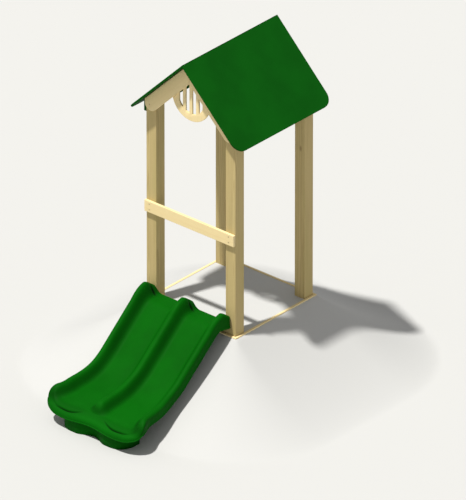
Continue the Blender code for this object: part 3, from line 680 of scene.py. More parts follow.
@dataclass
class TowerFrame:
    """The four posts with the timber that ties them.

    Attributes:
        pitch: The roof's pitch in degrees, to which the posts are cut.
        arris: Radius of the posts' long edges.
        board_arris: Radius of the boards' edges.
        heart: How far a post's own heart lies from its middle, along X and Y.
        along: How far a post's grain is moved along it, so that no two look alike.
    """

    pitch: float = 45.0
    arris: float = 0.0045
    board_arris: float = 0.0028
    heart: tuple[float, float] = (0.030, 0.045)
    along: float = 0.7

    def build(self, effects: SharedEffects) -> list[bpy.types.Object]:
        """Makes and dresses the posts, ground boards, bearer and guard rail.

        Args:
            effects: The shared node groups.

        Returns:
            The new pieces.
        """
        made = [self._post(end, side, effects) for end in End for side in Side]
        pale = {axis: PALE_TIMBER.make(effects, axis, shift=(0.03, 0.02, 0.4)) for axis in (Axis.X, Axis.Y)}
        for name, axis in (("front", Axis.X), ("rear", Axis.X), ("left", Axis.Y), ("right", Axis.Y)):
            made.append(self._board(f"ground_board_{name}", axis, pale[axis]))
        made.append(self._board("guard_rail", Axis.X, pale[Axis.X]))
        bearer = POST_TIMBER.make(effects, Axis.X, shift=(0.0, 0.1, 0.5))
        made.append(self._board("slide_bearer", Axis.X, bearer))
        return made

    def _post(self, end: End, side: Side, effects: SharedEffects) -> bpy.types.Object:
        """One post: a rounded square carried upwards, each upright line as long as the roof lets it be.

        Args:
            end: Front or rear.
            side: Left or right.
            effects: The shared node groups.

        Returns:
            The post.
        """
        node = f"post_{end.word}_{side.word}"
        low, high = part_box(node)
        outline = rounded_outline(rectangle(low[:2], high[:2]), [self.arris] * 4, 5)
        slope = math.tan(math.radians(self.pitch))
        inner = min(abs(low.x), abs(high.x))
        tall = high.z - low.z

        def place(points: np.ndarray) -> np.ndarray:
            """Shortens each upright line by the roof's fall at its distance from the middle.

            Args:
                points: Rows of (x, y, height).

            Returns:
                The points in place.
            """
            share = 1 - (np.abs(points[:, 0]) - inner) * slope / tall
            return np.stack([points[:, 0], points[:, 1], low.z + points[:, 2] * share], axis=1)

        piece = rounded_plate(f"fine_{node}", outline, tall, self.arris, place)
        middle = (low + high) / 2
        heart_x = middle.x + self.heart[0] * side.value
        heart_y = middle.y + self.heart[1] * end.value
        shift = (heart_x, heart_y, self.along * side.value)
        material = POST_TIMBER.make(effects, Axis.Z, shift=shift)
        return stand_in(piece, node, material)

    def _board(self, node: str, axis: Axis, material: bpy.types.Material) -> bpy.types.Object:
        """One straight board: its end section carried along its grain.

        Args:
            node: The node that it stands for.
            axis: The grain's direction, along which it is carried.
            material: Its material.

        Returns:
            The board.
        """
        low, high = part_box(node)
        order = (1, 2, 0) if axis is Axis.X else (0, 2, 1)
        first, second, along = order
        outline = rectangle((low[first], low[second]), (high[first], high[second]))
        outline = rounded_outline(outline, [self.board_arris] * 4, 4)

        def place(points: np.ndarray) -> np.ndarray:
            """Puts the section's two coordinates and the length back in X, Y, Z order."""
            placed = np.empty_like(points)
            placed[:, first], placed[:, second] = points[:, 0], points[:, 1]
            placed[:, along] = low[along] + points[:, 2]
            return placed

        piece = rounded_plate(f"fine_{node}", outline, high[along] - low[along], self.board_arris, place)
        return stand_in(piece, node, material)


def stand_in(
    piece: bpy.types.Object,
    node: str,
    material: bpy.types.Material,
) -> bpy.types.Object:
    """Dresses a piece, lets it ride on the body and stand for its node.

    Args:
        piece: The new piece.
        node: The node that it stands for.
        material: Its material.

    Returns:
        The piece.
    """
    dress(piece, material)
    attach(piece, BODY)
    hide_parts(node)
    return piece


@dataclass
class GableAndRoof:
    """The roof sheets, the boards below them and the round panel in the front gable.

    Attributes:
        pitch: The roof's pitch in degrees.
        board_width: Width of a gable board, square to its slope.
        end_round: Radius of a gable board's lower corner.
        arris: Radius of the boards' edges.
        sheet: Thickness of a roof sheet.
        sheet_corner: Radius of its two lower corners.
        sheet_arris: Radius of its edges.
        slot: Width of a slot in the round panel.
        slot_pitch: From one slot to the next.
        ring: Width of the round panel's unbroken rim.
        slots: How many slots it has.
        cut_margin: How far a slot's cutter stands out of the panel's two faces.
        slot_arris: Width of the slots' small bevel.
        mitre_run: Length of a sheet over which its ridge edge is cut to the mitre.
        tight: Radius of the two corners at a sheet's ridge edge.
    """

    pitch: float = 45.0
    board_width: float = 0.121
    end_round: float = 0.060
    arris: float = 0.0025
    sheet: float = 0.015
    sheet_corner: float = 0.095
    sheet_arris: float = 0.0022
    slot: float = 0.038
    slot_pitch: float = 0.066
    ring: float = 0.060
    slots: int = 4
    cut_margin: float = 0.010
    slot_arris: float = 0.0015
    mitre_run: float = 0.050
    tight: float = 0.001

    def build(self, effects: SharedEffects) -> list[bpy.types.Object]:
        """Makes and dresses every piece of the roof.

        Args:
            effects: The shared node groups.

        Returns:
            The new pieces.
        """
        made = []
        green = ROOF_SHEET.make(effects)
        for side in Side:
            turn = math.radians(90 - self.pitch) * side.value
            pale = PALE_TIMBER.make(effects, Axis.Z, turn, (0.02 * side.value, 0.04, 2.3))
            made.append(self._sheet(side, green))
            made.append(self._eave_board(side, green))
            made += [self._gable_board(end, side, pale) for end in End]
        made.append(self._batten(POST_TIMBER.make(effects, Axis.Y, shift=(0.02, 0.3, 2.74))))
        made.append(self._sun_panel(PALE_TIMBER.make(effects, Axis.Z, 0.0, (0.09, 0.05, 1.9))))
        return made

    @property
    def _tan(self) -> float:
        """Fall of the roof for each metre across."""
        return math.tan(math.radians(self.pitch))

    def _sheet(self, side: Side, material: bpy.types.Material) -> bpy.types.Object:
        """One roof sheet: a rectangle with two rounded corners, tilted, its ridge edge cut to a mitre.

        Args:
            side: Left or right.
            material: Its material.

        Returns:
            The sheet.
        """
        node = f"roof_panel_{side.word}"
        low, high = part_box(node)
        cosine, sine = math.cos(math.radians(self.pitch)), math.sin(math.radians(self.pitch))
        inner = min(abs(low.x), abs(high.x))
        length = (max(abs(low.x), abs(high.x)) - inner) / cosine
        corners = rectangle((0.0, low.y), (length, high.y))
        radii = [self.tight, self.sheet_corner, self.sheet_corner, self.tight]
        outline = rounded_outline(corners, radii, 16)

        def place(points: np.ndarray) -> np.ndarray:
            """Leans the sheet: down the slope, along the ridge, and out from its underside.

            Args:
                points: Rows of (down the slope, y, out).

            Returns:
                The points in place.
            """
            depth = self.sheet - points[:, 2]
            along = points[:, 0] + depth * self._tan * np.clip(1 - points[:, 0] / self.mitre_run, 0, 1)
            x = inner + along * cosine - depth * sine
            z = high.z - along * sine - depth * cosine
            return np.stack([x * side.value, points[:, 1], z], axis=1)

        piece = rounded_plate(f"fine_{node}", outline, self.sheet, self.sheet_arris, place, 4, 30.0)
        return stand_in(piece, node, material)

    def _eave_board(self, side: Side, material: bpy.types.Material) -> bpy.types.Object:
        """A board along the posts' outer faces, its top cut to the roof's fall.

        Args:
            side: Left or right.
            material: Its material.

        Returns:
            The board.
        """
        node = f"eave_board_{side.word}"
        low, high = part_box(node)
        near, far = sorted((abs(low.x), abs(high.x)))
        fall = (far - near) * self._tan
        corners = np.array([(near, low.z), (far, low.z), (far, high.z - fall), (near, high.z)])
        outline = rounded_outline(corners * (side.value, 1), [self.arris] * 4, 4)
        piece = rounded_plate(f"fine_{node}", outline, high.y - low.y, self.arris, along_y(low.y))
        return stand_in(piece, node, material)

    def _gable_board(self, end: End, side: Side, material: bpy.types.Material) -> bpy.types.Object:
        """A sloping board: mitred at the ridge, upright and rounded at its lower end.

        Args:
            end: Front or rear.
            side: Left or right.
            material: Its material.

        Returns:
            The board.
        """
        node = f"gable_board_{end.word}_{side.word}"
        low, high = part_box(node)
        near, far = sorted((abs(low.x), abs(high.x)))
        drop = self.board_width / math.cos(math.radians(self.pitch))
        fall = (far - near) * self._tan
        corners = [(near, high.z), (far, high.z - fall), (far, high.z - fall - drop), (near, high.z - drop)]
        radii = [self.arris, self.arris, self.end_round, self.arris]
        outline = rounded_outline(np.array(corners) * (side.value, 1), radii, 12)
        piece = rounded_plate(f"fine_{node}", outline, high.y - low.y, self.arris, along_y(low.y), 4, 30.0)
        return stand_in(piece, node, material)

    def _batten(self, material: bpy.types.Material) -> bpy.types.Object:
        """The batten under the ridge, with a top like a small roof.

        Args:
            material: Its material.

        Returns:
            The batten.
        """
        low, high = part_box("ridge_batten")
        fall = high.x * self._tan
        shoulder = high.z - fall
        corners = [(low.x, low.z), (high.x, low.z), (high.x, shoulder), (0.0, high.z), (low.x, shoulder)]
        outline = rounded_outline(np.array(corners), [self.arris] * 5, 4)
        piece = rounded_plate("fine_ridge_batten", outline, high.y - low.y, self.arris, along_y(low.y))
        return stand_in(piece, "ridge_batten", material)

    def _sun_panel(self, material: bpy.types.Material) -> bpy.types.Object:
        """A disc with upright slots, whose ends follow a circle inside its rim.

        Args:
            material: Its material.

        Returns:
            The panel.
        """
        low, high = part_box("sun_panel")
        radius = (high.x - low.x) / 2
        middle = (low.z + high.z) / 2
        angle = np.linspace(0, 2 * np.pi, 145)[:-1]
        outline = np.stack([radius * np.cos(angle), middle + radius * np.sin(angle)], axis=1)
        thick = high.y - low.y
        piece = rounded_plate("fine_sun_panel", outline, thick, self.arris, along_y(low.y), 4, 30.0)
        for index in range(self.slots):
            cutter = self._slot_cutter(index, radius - self.ring, middle, low.y, thick)
            cut = piece.modifiers.new(cutter.name, "BOOLEAN")
            cut.operation = "DIFFERENCE"
            cut.object = cutter
            apply_modifiers(piece)
            bpy.data.objects.remove(cutter)
        bevel = piece.modifiers.new("slot_arrises", "BEVEL")
        bevel.width = self.slot_arris
        bevel.segments = 2
        bevel.limit_method = "ANGLE"
        bevel.angle_limit = math.radians(60)
        return stand_in(piece, "sun_panel", material)

    def _slot_cutter(
        self,
        index: int,
        reach: float,
        middle: float,
        front: float,
        thick: float,
    ) -> bpy.types.Object:
        """The shape of one slot: two upright sides, and two ends on a circle round the disc's middle.

        Args:
            index: Which slot it is, from the left.
            reach: Radius of the circle that its ends follow.
            middle: Height of the disc's middle.
            front: Y of the disc's front face.
            thick: The disc's thickness.

        Returns:
            The cutter.
        """
        centre = (index - (self.slots - 1) / 2) * self.slot_pitch
        x = np.linspace(centre - self.slot / 2, centre + self.slot / 2, 13)
        z = np.sqrt(reach**2 - x**2)
        outline = np.concatenate([np.stack([x, middle + z], 1), np.stack([x[::-1], middle - z[::-1]], 1)])
        rings = np.concatenate([outline, outline])
        depth = np.repeat([front - self.cut_margin, front + thick + self.cut_margin], len(outline))
        points = np.stack([rings[:, 0], depth, rings[:, 1]], axis=1)
        around = len(outline)
        faces = ring_quads(2, around).tolist()
        faces += [list(range(around))[::-1], list(range(around, 2 * around))]
        return make_piece(f"slot_{index}", points, faces)


def apply_modifiers(piece: bpy.types.Object) -> None:
    """Turns a piece's modifiers into its own mesh.

    Args:
        piece: The piece.
    """
    graph = bpy.context.evaluated_depsgraph_get()
    mesh = bpy.data.meshes.new_from_object(piece.evaluated_get(graph))
    piece.modifiers.clear()
    piece.data = mesh


# ---- Slide ----------------------------------------------------------------

PAST_LIP = 0.1  # how far the worked-out floor runs on past the lip
AT_TOWER = 0.004  # points nearer to the tower's face than this stay flush with it
# The skirt's rings: how far down each lies, as a share, and how far outwards its bead swells there.
SKIRT_BEAD = ((0.25, 0.0), (0.5, 0.0), (0.75, 0.0005), (0.88, 0.0025), (1.0, 0.0045))


@dataclass(frozen=True)
class FloorLine:
    """The lane floor, point by point from the tower's face to past the lip.

    Attributes:
        s: Arc length along the floor.
        reach: Distance from the tower's face.
        height: Height of the floor.
        angle: Angle of its slope, in radians.
        lip: Arc length at which the lip starts.
        face: Y of the tower's face.
    """

    s: np.ndarray
    reach: np.ndarray
    height: np.ndarray
    angle: np.ndarray
    lip: float
    face: float


@dataclass
class WaveChute:
    """The moulded chute with two lanes between two rails and a middle ridge.

    Lengths along the lane, s, are measured on its floor from the tower's face.

    Attributes:
        deck: Level floor at the head.
        head_radius: Radius of the bend at the head.
        slope: Angle of the steep stretch, in degrees.
        deck_rise: Floor at the head above the lowest point of the run-out.
        run_radius: Radius of the bend above the run-out.
        run_slope: Angle of the run-out, in degrees.
        run_length: Length of the run-out's straight stretch.
        lip_radius: Radius of the lip.
        lip_length: Length of the lip's arc at its lobes.
        half: Half width at the head.
        flare: Share by which the run-out is wider.
        lip_flare: Share by which the lip is wider still.
        lip_corner: Radius of the two outer corners at the foot.
        head_corner: Radius of the two corners at the head.
        lobe: How far the lip's two lobes stand in front of its middle.
        crest: Height of the rails above the lanes.
        head_crest: The same at the head.
        blunt: Share of the crest's height left at the head's end.
        rake: Length of the crest's raked end.
        edge: Radius of the rounded outer edge.
        lip_edge: The same radius at the lip.
        sharp: How near to its crest a wall turns, from 0.5, midway, to 1.
        rail_inner: From the outer edge to the inner side of a rail's crest.
        rail_foot: From the outer edge to the foot of a rail's inner wall.
        ridge_crest: Half width of the ridge's crest.
        ridge_foot: Half width of the ridge at its foot.
        wall: Thickness of the moulding.
        skirt: Depth of the rim's lower edge below the floor.
        head_skirt: The same at the head, added to it.
        flange: Depth of the head's flange below the floor.
        head_skirt_run: Length over which that extra depth runs out.
        least_skirt: Least depth of the skirt below the surface's own edge.
        flange_end: Half width of the flange, and the width over which it ends.
        at_head: Points nearer to the head's end than this are on the flange.
        groove: Depth of the moulded groove round each lane's end.
        groove_width: Half width of that groove.
        fold: Depth of the short fold across the walls at the head.
        fold_at: Its distance from the head's end.
        fold_width: Half width of that fold.
        groove_line: From the outline to that groove.
        groove_turn: How much further off it is one span towards the ridge.
        groove_span: From the groove's middle to where it has tapered out.
        groove_tail: Share of the depth with which it goes on round the outer corner.
        tail_start: Width over which that fine part sets in.
        tail_end: Where it starts to fade, before the lip's edge, and over what length.
        turn_limit: How many spans from its middle the groove goes on turning.
        crest_fall: Where the crest leaves its height at the head, and the length of its fall.
        rail_fade: Where the rails start to fade, before the lip's edge, and over what length.
        ridge_fade: The same for the ridge.
        edge_fade: The same for the change to the lip's smaller rounding.
        flare_run: Where the run-out starts to widen, and over what length.
        lip_flare_run: The same for the lip.
        painted_wall_shade: How much painted shade the walls' steep parts get.
        columns: Points across the surface.
        rows: Points along it.
        bunched: How much closer the columns lie at the sides, as a share.
        ends_bunched: How much closer the rows lie at both ends, as a share.
        steps: Points along the floor line.
        line: The worked-out floor line.
    """

    deck: float = 0.1033
    head_radius: float = 0.120
    slope: float = 40.0
    deck_rise: float = 0.4586
    run_radius: float = 0.624
    run_slope: float = 5.0
    run_length: float = 0.1615
    lip_radius: float = 0.300
    lip_length: float = 0.1746
    half: float = 0.410
    flare: float = 0.070
    lip_flare: float = 0.120
    lip_corner: float = 0.130
    head_corner: float = 0.030
    lobe: float = 0.020
    crest: float = 0.077
    head_crest: float = 0.125
    blunt: float = 0.42
    rake: float = 0.095
    edge: float = 0.028
    lip_edge: float = 0.018
    sharp: float = 0.72
    rail_inner: float = 0.032
    rail_foot: float = 0.122
    ridge_crest: float = 0.008
    ridge_foot: float = 0.094
    wall: float = 0.008
    skirt: float = 0.011
    head_skirt: float = 0.030
    flange: float = 0.075
    head_skirt_run: float = 0.15
    least_skirt: float = 0.010
    flange_end: tuple[float, float] = (0.36, 0.04)
    at_head: float = 0.002
    groove: float = 0.010
    groove_width: float = 0.0052
    fold: float = 0.020
    fold_at: float = 0.052
    fold_width: float = 0.010
    groove_line: float = 0.040
    groove_turn: float = 0.030
    groove_span: float = 0.120
    groove_tail: float = 0.10
    tail_start: float = 0.05
    tail_end: tuple[float, float] = (0.20, 0.08)
    turn_limit: float = 1.2
    crest_fall: tuple[float, float] = (0.04, 0.17)
    rail_fade: tuple[float, float] = (0.16, 0.13)
    ridge_fade: tuple[float, float] = (0.16, 0.10)
    edge_fade: tuple[float, float] = (0.20, 0.12)
    flare_run: tuple[float, float] = (0.75, 0.35)
    lip_flare_run: tuple[float, float] = (1.10, 0.18)
    painted_wall_shade: float = 0.42
    columns: int = 151
    rows: int = 269
    bunched: float = 0.45
    ends_bunched: float = 0.12
    steps: int = 3000
    line: FloorLine = field(init=False)

    def build(self, moulding: bpy.types.Material) -> list[bpy.types.Object]:
        """Makes and dresses the chute.

        Args:
            moulding: The moulding's material.

        Returns:
            The chute in a list.
        """
        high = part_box("slide_chute")[1]
        self.line = self._work_out_floor(high.y, high.z)
        grid, hollow, edge, ring = self._surface()
        points, faces = self._with_skirt(grid, edge, ring)
        points[:, 1] += high.y
        chute = self._shell(points, faces, hollow)
        return [stand_in(chute, "slide_chute", moulding)]

    def _work_out_floor(self, face: float, high: float) -> FloorLine:
        """The lane floor.

        The slope angle is level, then rises evenly round the head's bend, stays
        steep, falls evenly to the run-out's, stays there, and rises evenly round
        the lip. Reach and height are its cosine and sine summed along the way.

        Args:
            face: Y of the chute's back, at the tower's face.
            high: The chute's highest height.

        Returns:
            The floor line.
        """
        steep, gentle = math.radians(self.slope), math.radians(self.run_slope)
        lip = self.lip_length + PAST_LIP
        last = gentle + lip / self.lip_radius
        drop = self.deck_rise - self.head_radius * (1 - math.cos(steep))
        drop -= self.run_radius * (math.cos(gentle) - math.cos(steep))
        stretches = [self.deck, self.head_radius * steep, drop / math.sin(steep),
                     self.run_radius * (steep - gentle), self.run_length, lip]
        knots = np.concatenate([[0], np.cumsum(stretches)])
        s = np.linspace(0, knots[-1], self.steps)
        angle = np.interp(s, knots, [0, 0, steep, steep, gentle, gentle, last])
        step = np.diff(s, prepend=0)
        between = np.interp(s - step / 2, s, angle)
        highest = self._crest_height(np.linspace(0, self.deck, 400)).max()
        height = high - float(highest) - np.cumsum(np.sin(between) * step)
        return FloorLine(s, np.cumsum(np.cos(between) * step), height, angle, knots[-2], face)

    def _crest_height(self, s: np.ndarray) -> np.ndarray:
        """Height of a crest above the lane.

        From the head's height it falls to the common one by half a cosine wave,
        and its end is raked in a straight line.

        Args:
            s: Arc lengths.

        Returns:
            The heights there.
        """
        start, run = self.crest_fall
        tall = self.crest + (self.head_crest - self.crest) * (1 - smooth_step((s - start) / run))
        return tall * np.clip(self.blunt + (1 - self.blunt) * s / self.rake, 0, 1)

    def _corner_loss(self, away: np.ndarray, radius: float) -> np.ndarray:
        """How far a rounded corner cuts the end back at a distance from the middle line."""
        past = np.clip(away - (self.half - radius), 0, radius)
        return radius - np.sqrt(np.maximum(radius**2 - past**2, 0))

    def _front(self, away: np.ndarray) -> np.ndarray:
        """Arc length of the lip's edge before its corners are rounded: two lobes, a cosine wave each."""
        wave = 0.5 - 0.5 * np.cos(2 * np.pi * away / self.half)
        return self.line.lip + self.lip_length - self.lobe + self.lobe * wave

    def _inside(self, away: np.ndarray, s: np.ndarray) -> np.ndarray:
        """Distance to the outline, measured on the flattened surface.

        In an outer corner of the foot it is the corner's radius less the distance
        to the corner's centre, and elsewhere the nearer of the side and the end.

        Args:
            away: Distances from the middle line.
            s: Arc lengths.

        Returns:
            The distances to the outline, none below 0.
        """
        front = self._front(away)
        past_x = away - (self.half - self.lip_corner)
        past_s = s - (front - self.lip_corner)
        corner = self.lip_corner - np.hypot(past_x, past_s)
        plain = np.minimum(self.half - away, front - s)
        return np.maximum(np.where((past_x > 0) & (past_s > 0), corner, plain), 0)

    def _rise(self, across: np.ndarray, s: np.ndarray) -> tuple[np.ndarray, np.ndarray]:
        """The surface above the lane floor.

        A rail's inner wall and the ridge's two walls hollow out towards the lane,
        both fade out before the lip, and the crest climbs at the head to a raked
        end. The outer edge turns down in a quarter circle. A groove follows each
        lane's end, and a short fold, a bell curve in s, crosses the walls at the head.

        Args:
            across: Distances from the middle line, negative to the left.
            s: Arc lengths.

        Returns:
            The height above the floor, and the share of painted shade at each point, from 0 to 1.
        """
        away = np.abs(across)
        inside = self._inside(away, s)
        from_front = self._front(away) - s
        rail = self._wall_curve((self.rail_foot - inside) / (self.rail_foot - self.rail_inner))
        rail *= 1 - smooth_step((self.rail_fade[0] - from_front) / self.rail_fade[1])
        ridge = self._wall_curve((self.ridge_foot - away) / (self.ridge_foot - self.ridge_crest))
        ridge *= 1 - smooth_step((self.ridge_fade[0] - from_front) / self.ridge_fade[1])
        wall = np.maximum(rail, ridge)
        groove = self._grooves(away, inside, from_front)
        fold = np.sin(np.pi * wall) * np.exp(-(((s - self.fold_at) / self.fold_width) ** 2))
        # Painted shade: the groove, the fold and the steep part of each wall get a share that the material
        # darkens towards near black.
        hollow = np.clip(groove + fold + self.painted_wall_shade * np.sin(np.pi * wall**0.7) ** 2, 0, 1)
        rise = self._crest_height(s) * wall - self.groove * groove - self.fold * fold
        change = smooth_step((self.edge_fade[0] - from_front) / self.edge_fade[1])
        edge = self.edge + (self.lip_edge - self.edge) * change
        over = np.clip(1 - inside / edge, 0, 1)
        return rise - edge * (1 - np.sqrt(1 - over**2)), hollow

    def _wall_curve(self, share: np.ndarray) -> np.ndarray:
        """From 0 at a wall's foot to 1 at its crest: a parabola up, then a tighter one over the crest."""
        share = np.clip(share, 0, 1)
        return np.where(share < self.sharp, share**2 / self.sharp, 1 - (1 - share) ** 2 / (1 - self.sharp))

    def _grooves(self, away: np.ndarray, inside: np.ndarray, from_front: np.ndarray) -> np.ndarray:
        """Share of its full depth that the groove round each lane's end has.

        Its line keeps one distance from the outline, and turns away from the lip
        towards the ridge. Across, it is a bell curve. It is deepest in the middle of
        the lane, tapers like a half cosine wave, and goes on round the outer corner.

        Args:
            away: Distances from the middle line.
            inside: Distances to the outline.
            from_front: Arc lengths to the lip's edge.

        Returns:
            The shares, from 0 to 1.
        """
        middle = self.half / 2
        share = (away - middle) / self.groove_span
        line = self.groove_line + self.groove_turn * np.clip(-share, 0, self.turn_limit) ** 2
        distance = np.where(away < middle, from_front, inside) - line
        full = np.cos(np.clip(share, -1, 1) * np.pi / 2)
        start, run = self.tail_end
        outer = smooth_step((away - middle) / self.tail_start)
        outer = outer * (1 - smooth_step((from_front - start) / run))
        return np.maximum(full, self.groove_tail * outer) * np.exp(-((distance / self.groove_width) ** 2))

    def _place(self, across: np.ndarray, s: np.ndarray, rise: np.ndarray) -> np.ndarray:
        """Points above the floor along its normal, or straight down below it, wider towards the foot.

        Args:
            across: Distances from the middle line, negative to the left.
            s: Arc lengths.
            rise: Heights above the floor, or depths below it.

        Returns:
            The points, with Y measured from the tower's face.
        """
        line = self.line
        parts = (line.reach, line.height, line.angle)
        reach, height, angle = (np.interp(s, line.s, part) for part in parts)
        wide = 1 + self.flare * smooth_step((s - self.flare_run[0]) / self.flare_run[1])
        wide += self.lip_flare * smooth_step((s - self.lip_flare_run[0]) / self.lip_flare_run[1])
        up, down = np.maximum(rise, 0), np.minimum(rise, 0)
        forward = reach + up * np.sin(angle)
        return np.stack([across * wide, -forward, height + up * np.cos(angle) + down], axis=-1)

    def _surface(self) -> tuple[np.ndarray, np.ndarray, np.ndarray, np.ndarray]:
        """The upper surface and the lower edge of its skirt.

        Columns lie a little closer at the sides and rows at both ends, where the
        surface bends most: each spacing is an even one plus a sine.

        Returns:
            The grid of points, the share of painted shade at each, the grid places once round its border,
            and the skirt's lower points below them.
        """
        even = np.linspace(-1, 1, self.columns)
        across = self.half * (self.bunched * np.sin(even * np.pi / 2) + (1 - self.bunched) * even)
        away = np.abs(across)
        share = np.linspace(0, 1, self.rows)
        share = share - self.ends_bunched * np.sin(2 * np.pi * share)
        back = self._corner_loss(away, self.head_corner)
        front = self._front(away) - self._corner_loss(away, self.lip_corner)
        s = back[:, None] + (front - back)[:, None] * share
        x = np.repeat(across[:, None], self.rows, axis=1)
        rise, hollow = self._rise(x, s)
        edge = self._border()
        at = tuple(edge.T)
        drop = self.skirt + self.head_skirt * np.clip(1 - s[at] / self.head_skirt_run, 0, 1)
        low = np.minimum(-drop, rise[at] - self.least_skirt)
        outer, ease = self.flange_end
        flange = smooth_step((outer - np.abs(x[at])) / ease) * (s[at] < self.at_head)
        low = low * (1 - flange) - self.flange * flange
        return self._place(x, s, rise), hollow, edge, self._place(x[at], s[at], low)

    def _border(self) -> np.ndarray:
        """Grid places once round the border: up one side, over the foot, down the other and back.

        Returns:
            Rows of a column and a row number.
        """
        last_column, last_row = self.columns - 1, self.rows - 1
        up, down = np.arange(self.rows), np.arange(last_row - 1, -1, -1)
        over, back = np.arange(1, self.columns), np.arange(last_column - 1, 0, -1)
        columns = np.concatenate([np.zeros_like(up), over, np.full_like(down, last_column), back])
        rows = np.concatenate([up, np.full_like(over, last_row), down, np.zeros_like(back)])
        return np.stack([columns, rows], axis=1)

    def _with_skirt(
        self,
        grid: np.ndarray,
        edge: np.ndarray,
        ring: np.ndarray,
    ) -> tuple[np.ndarray, np.ndarray]:
        """Joins the upper surface to its skirt, which ends in a small outward bead.

        Args:
            grid: Points of the upper surface.
            edge: Grid places once round its border.
            ring: The skirt's lower points.

        Returns:
            All points and all faces.
        """
        top = grid[tuple(edge.T)]
        along = np.roll(top, -1, axis=0) - np.roll(top, 1, axis=0)
        outward = np.stack([along[:, 1], -along[:, 0]], axis=1)
        outward /= np.maximum(np.linalg.norm(outward, axis=1, keepdims=True), 1e-9)
        outward *= np.sign((outward * (top[:, :2] - grid[..., :2].mean((0, 1)))).sum(1, keepdims=True))
        at_tower = (top[:, 1] > -AT_TOWER)[:, None]
        shares, bead = np.array(SKIRT_BEAD).T
        rings = top[None] + (ring - top)[None] * shares[:, None, None]
        rings[..., :2] += np.where(at_tower, 0.0, outward)[None] * bead[:, None, None]
        points = np.concatenate([grid.reshape(-1, 3), rings.reshape(-1, 3)])
        columns, rows = grid.shape[:2]
        cells = (np.arange(columns - 1)[:, None] * rows + np.arange(rows - 1)[None, :]).reshape(-1)
        faces = np.stack([cells, cells + 1, cells + rows + 1, cells + rows], axis=1)
        border = edge[:, 0] * rows + edge[:, 1]
        count, start = len(border), columns * rows
        lines = np.concatenate([border[None], start + np.arange(len(shares) * count).reshape(-1, count)])
        after = np.roll(lines, -1, axis=1)
        skirt = np.stack([lines[:-1], lines[1:], after[1:], after[:-1]], axis=-1).reshape(-1, 4)
        return points, np.concatenate([faces, skirt])

    def _shell(self, points: np.ndarray, faces: np.ndarray, hollow: np.ndarray) -> bpy.types.Object:
        """The moulding: the open surface, turned so that the lanes face up, and thickened inwards.

        Args:
            points: Its points, those of the upper surface first.
            faces: Its faces, those of the upper surface first.
            hollow: The share of painted shade at each point of the upper surface.

        Returns:
            The new object.
        """
        mesh = bpy.data.meshes.new("wave_chute")
        mesh.from_pydata(points.tolist(), [], faces.tolist())
        mesh.update()
        upward = np.empty(len(mesh.polygons) * 3)
        mesh.polygons.foreach_get("normal", upward)
        if upward.reshape(-1, 3)[: (self.columns - 1) * (self.rows - 1), 2].sum() < 0:
            mesh.flip_normals()
        chute = bpy.data.objects.new("wave_chute", mesh)
        bpy.context.scene.collection.objects.link(chute)
        # The shares of painted shade go on the mesh as a point attribute, which the material reads to
        # darken the colour.
        marks = np.zeros(len(mesh.vertices))
        marks[: hollow.size] = hollow.reshape(-1)
        mesh.attributes.new(PAINTED_SHADE_MARK, "FLOAT", "POINT").data.foreach_set("value", marks)
        wall = chute.modifiers.new("wall", "SOLIDIFY")
        wall.thickness = self.wall
        wall.offset = -1
        mesh.shade_smooth()
        return chute

    def underside(self, y: np.ndarray) -> np.ndarray:
        """Height of the lane's underside.

        Args:
            y: Y of each place.

        Returns:
            The heights there.
        """
        reach = self.line.face - y
        angle = np.interp(reach, self.line.reach, self.line.angle)
        return np.interp(reach, self.line.reach, self.line.height) - self.wall / np.cos(angle)


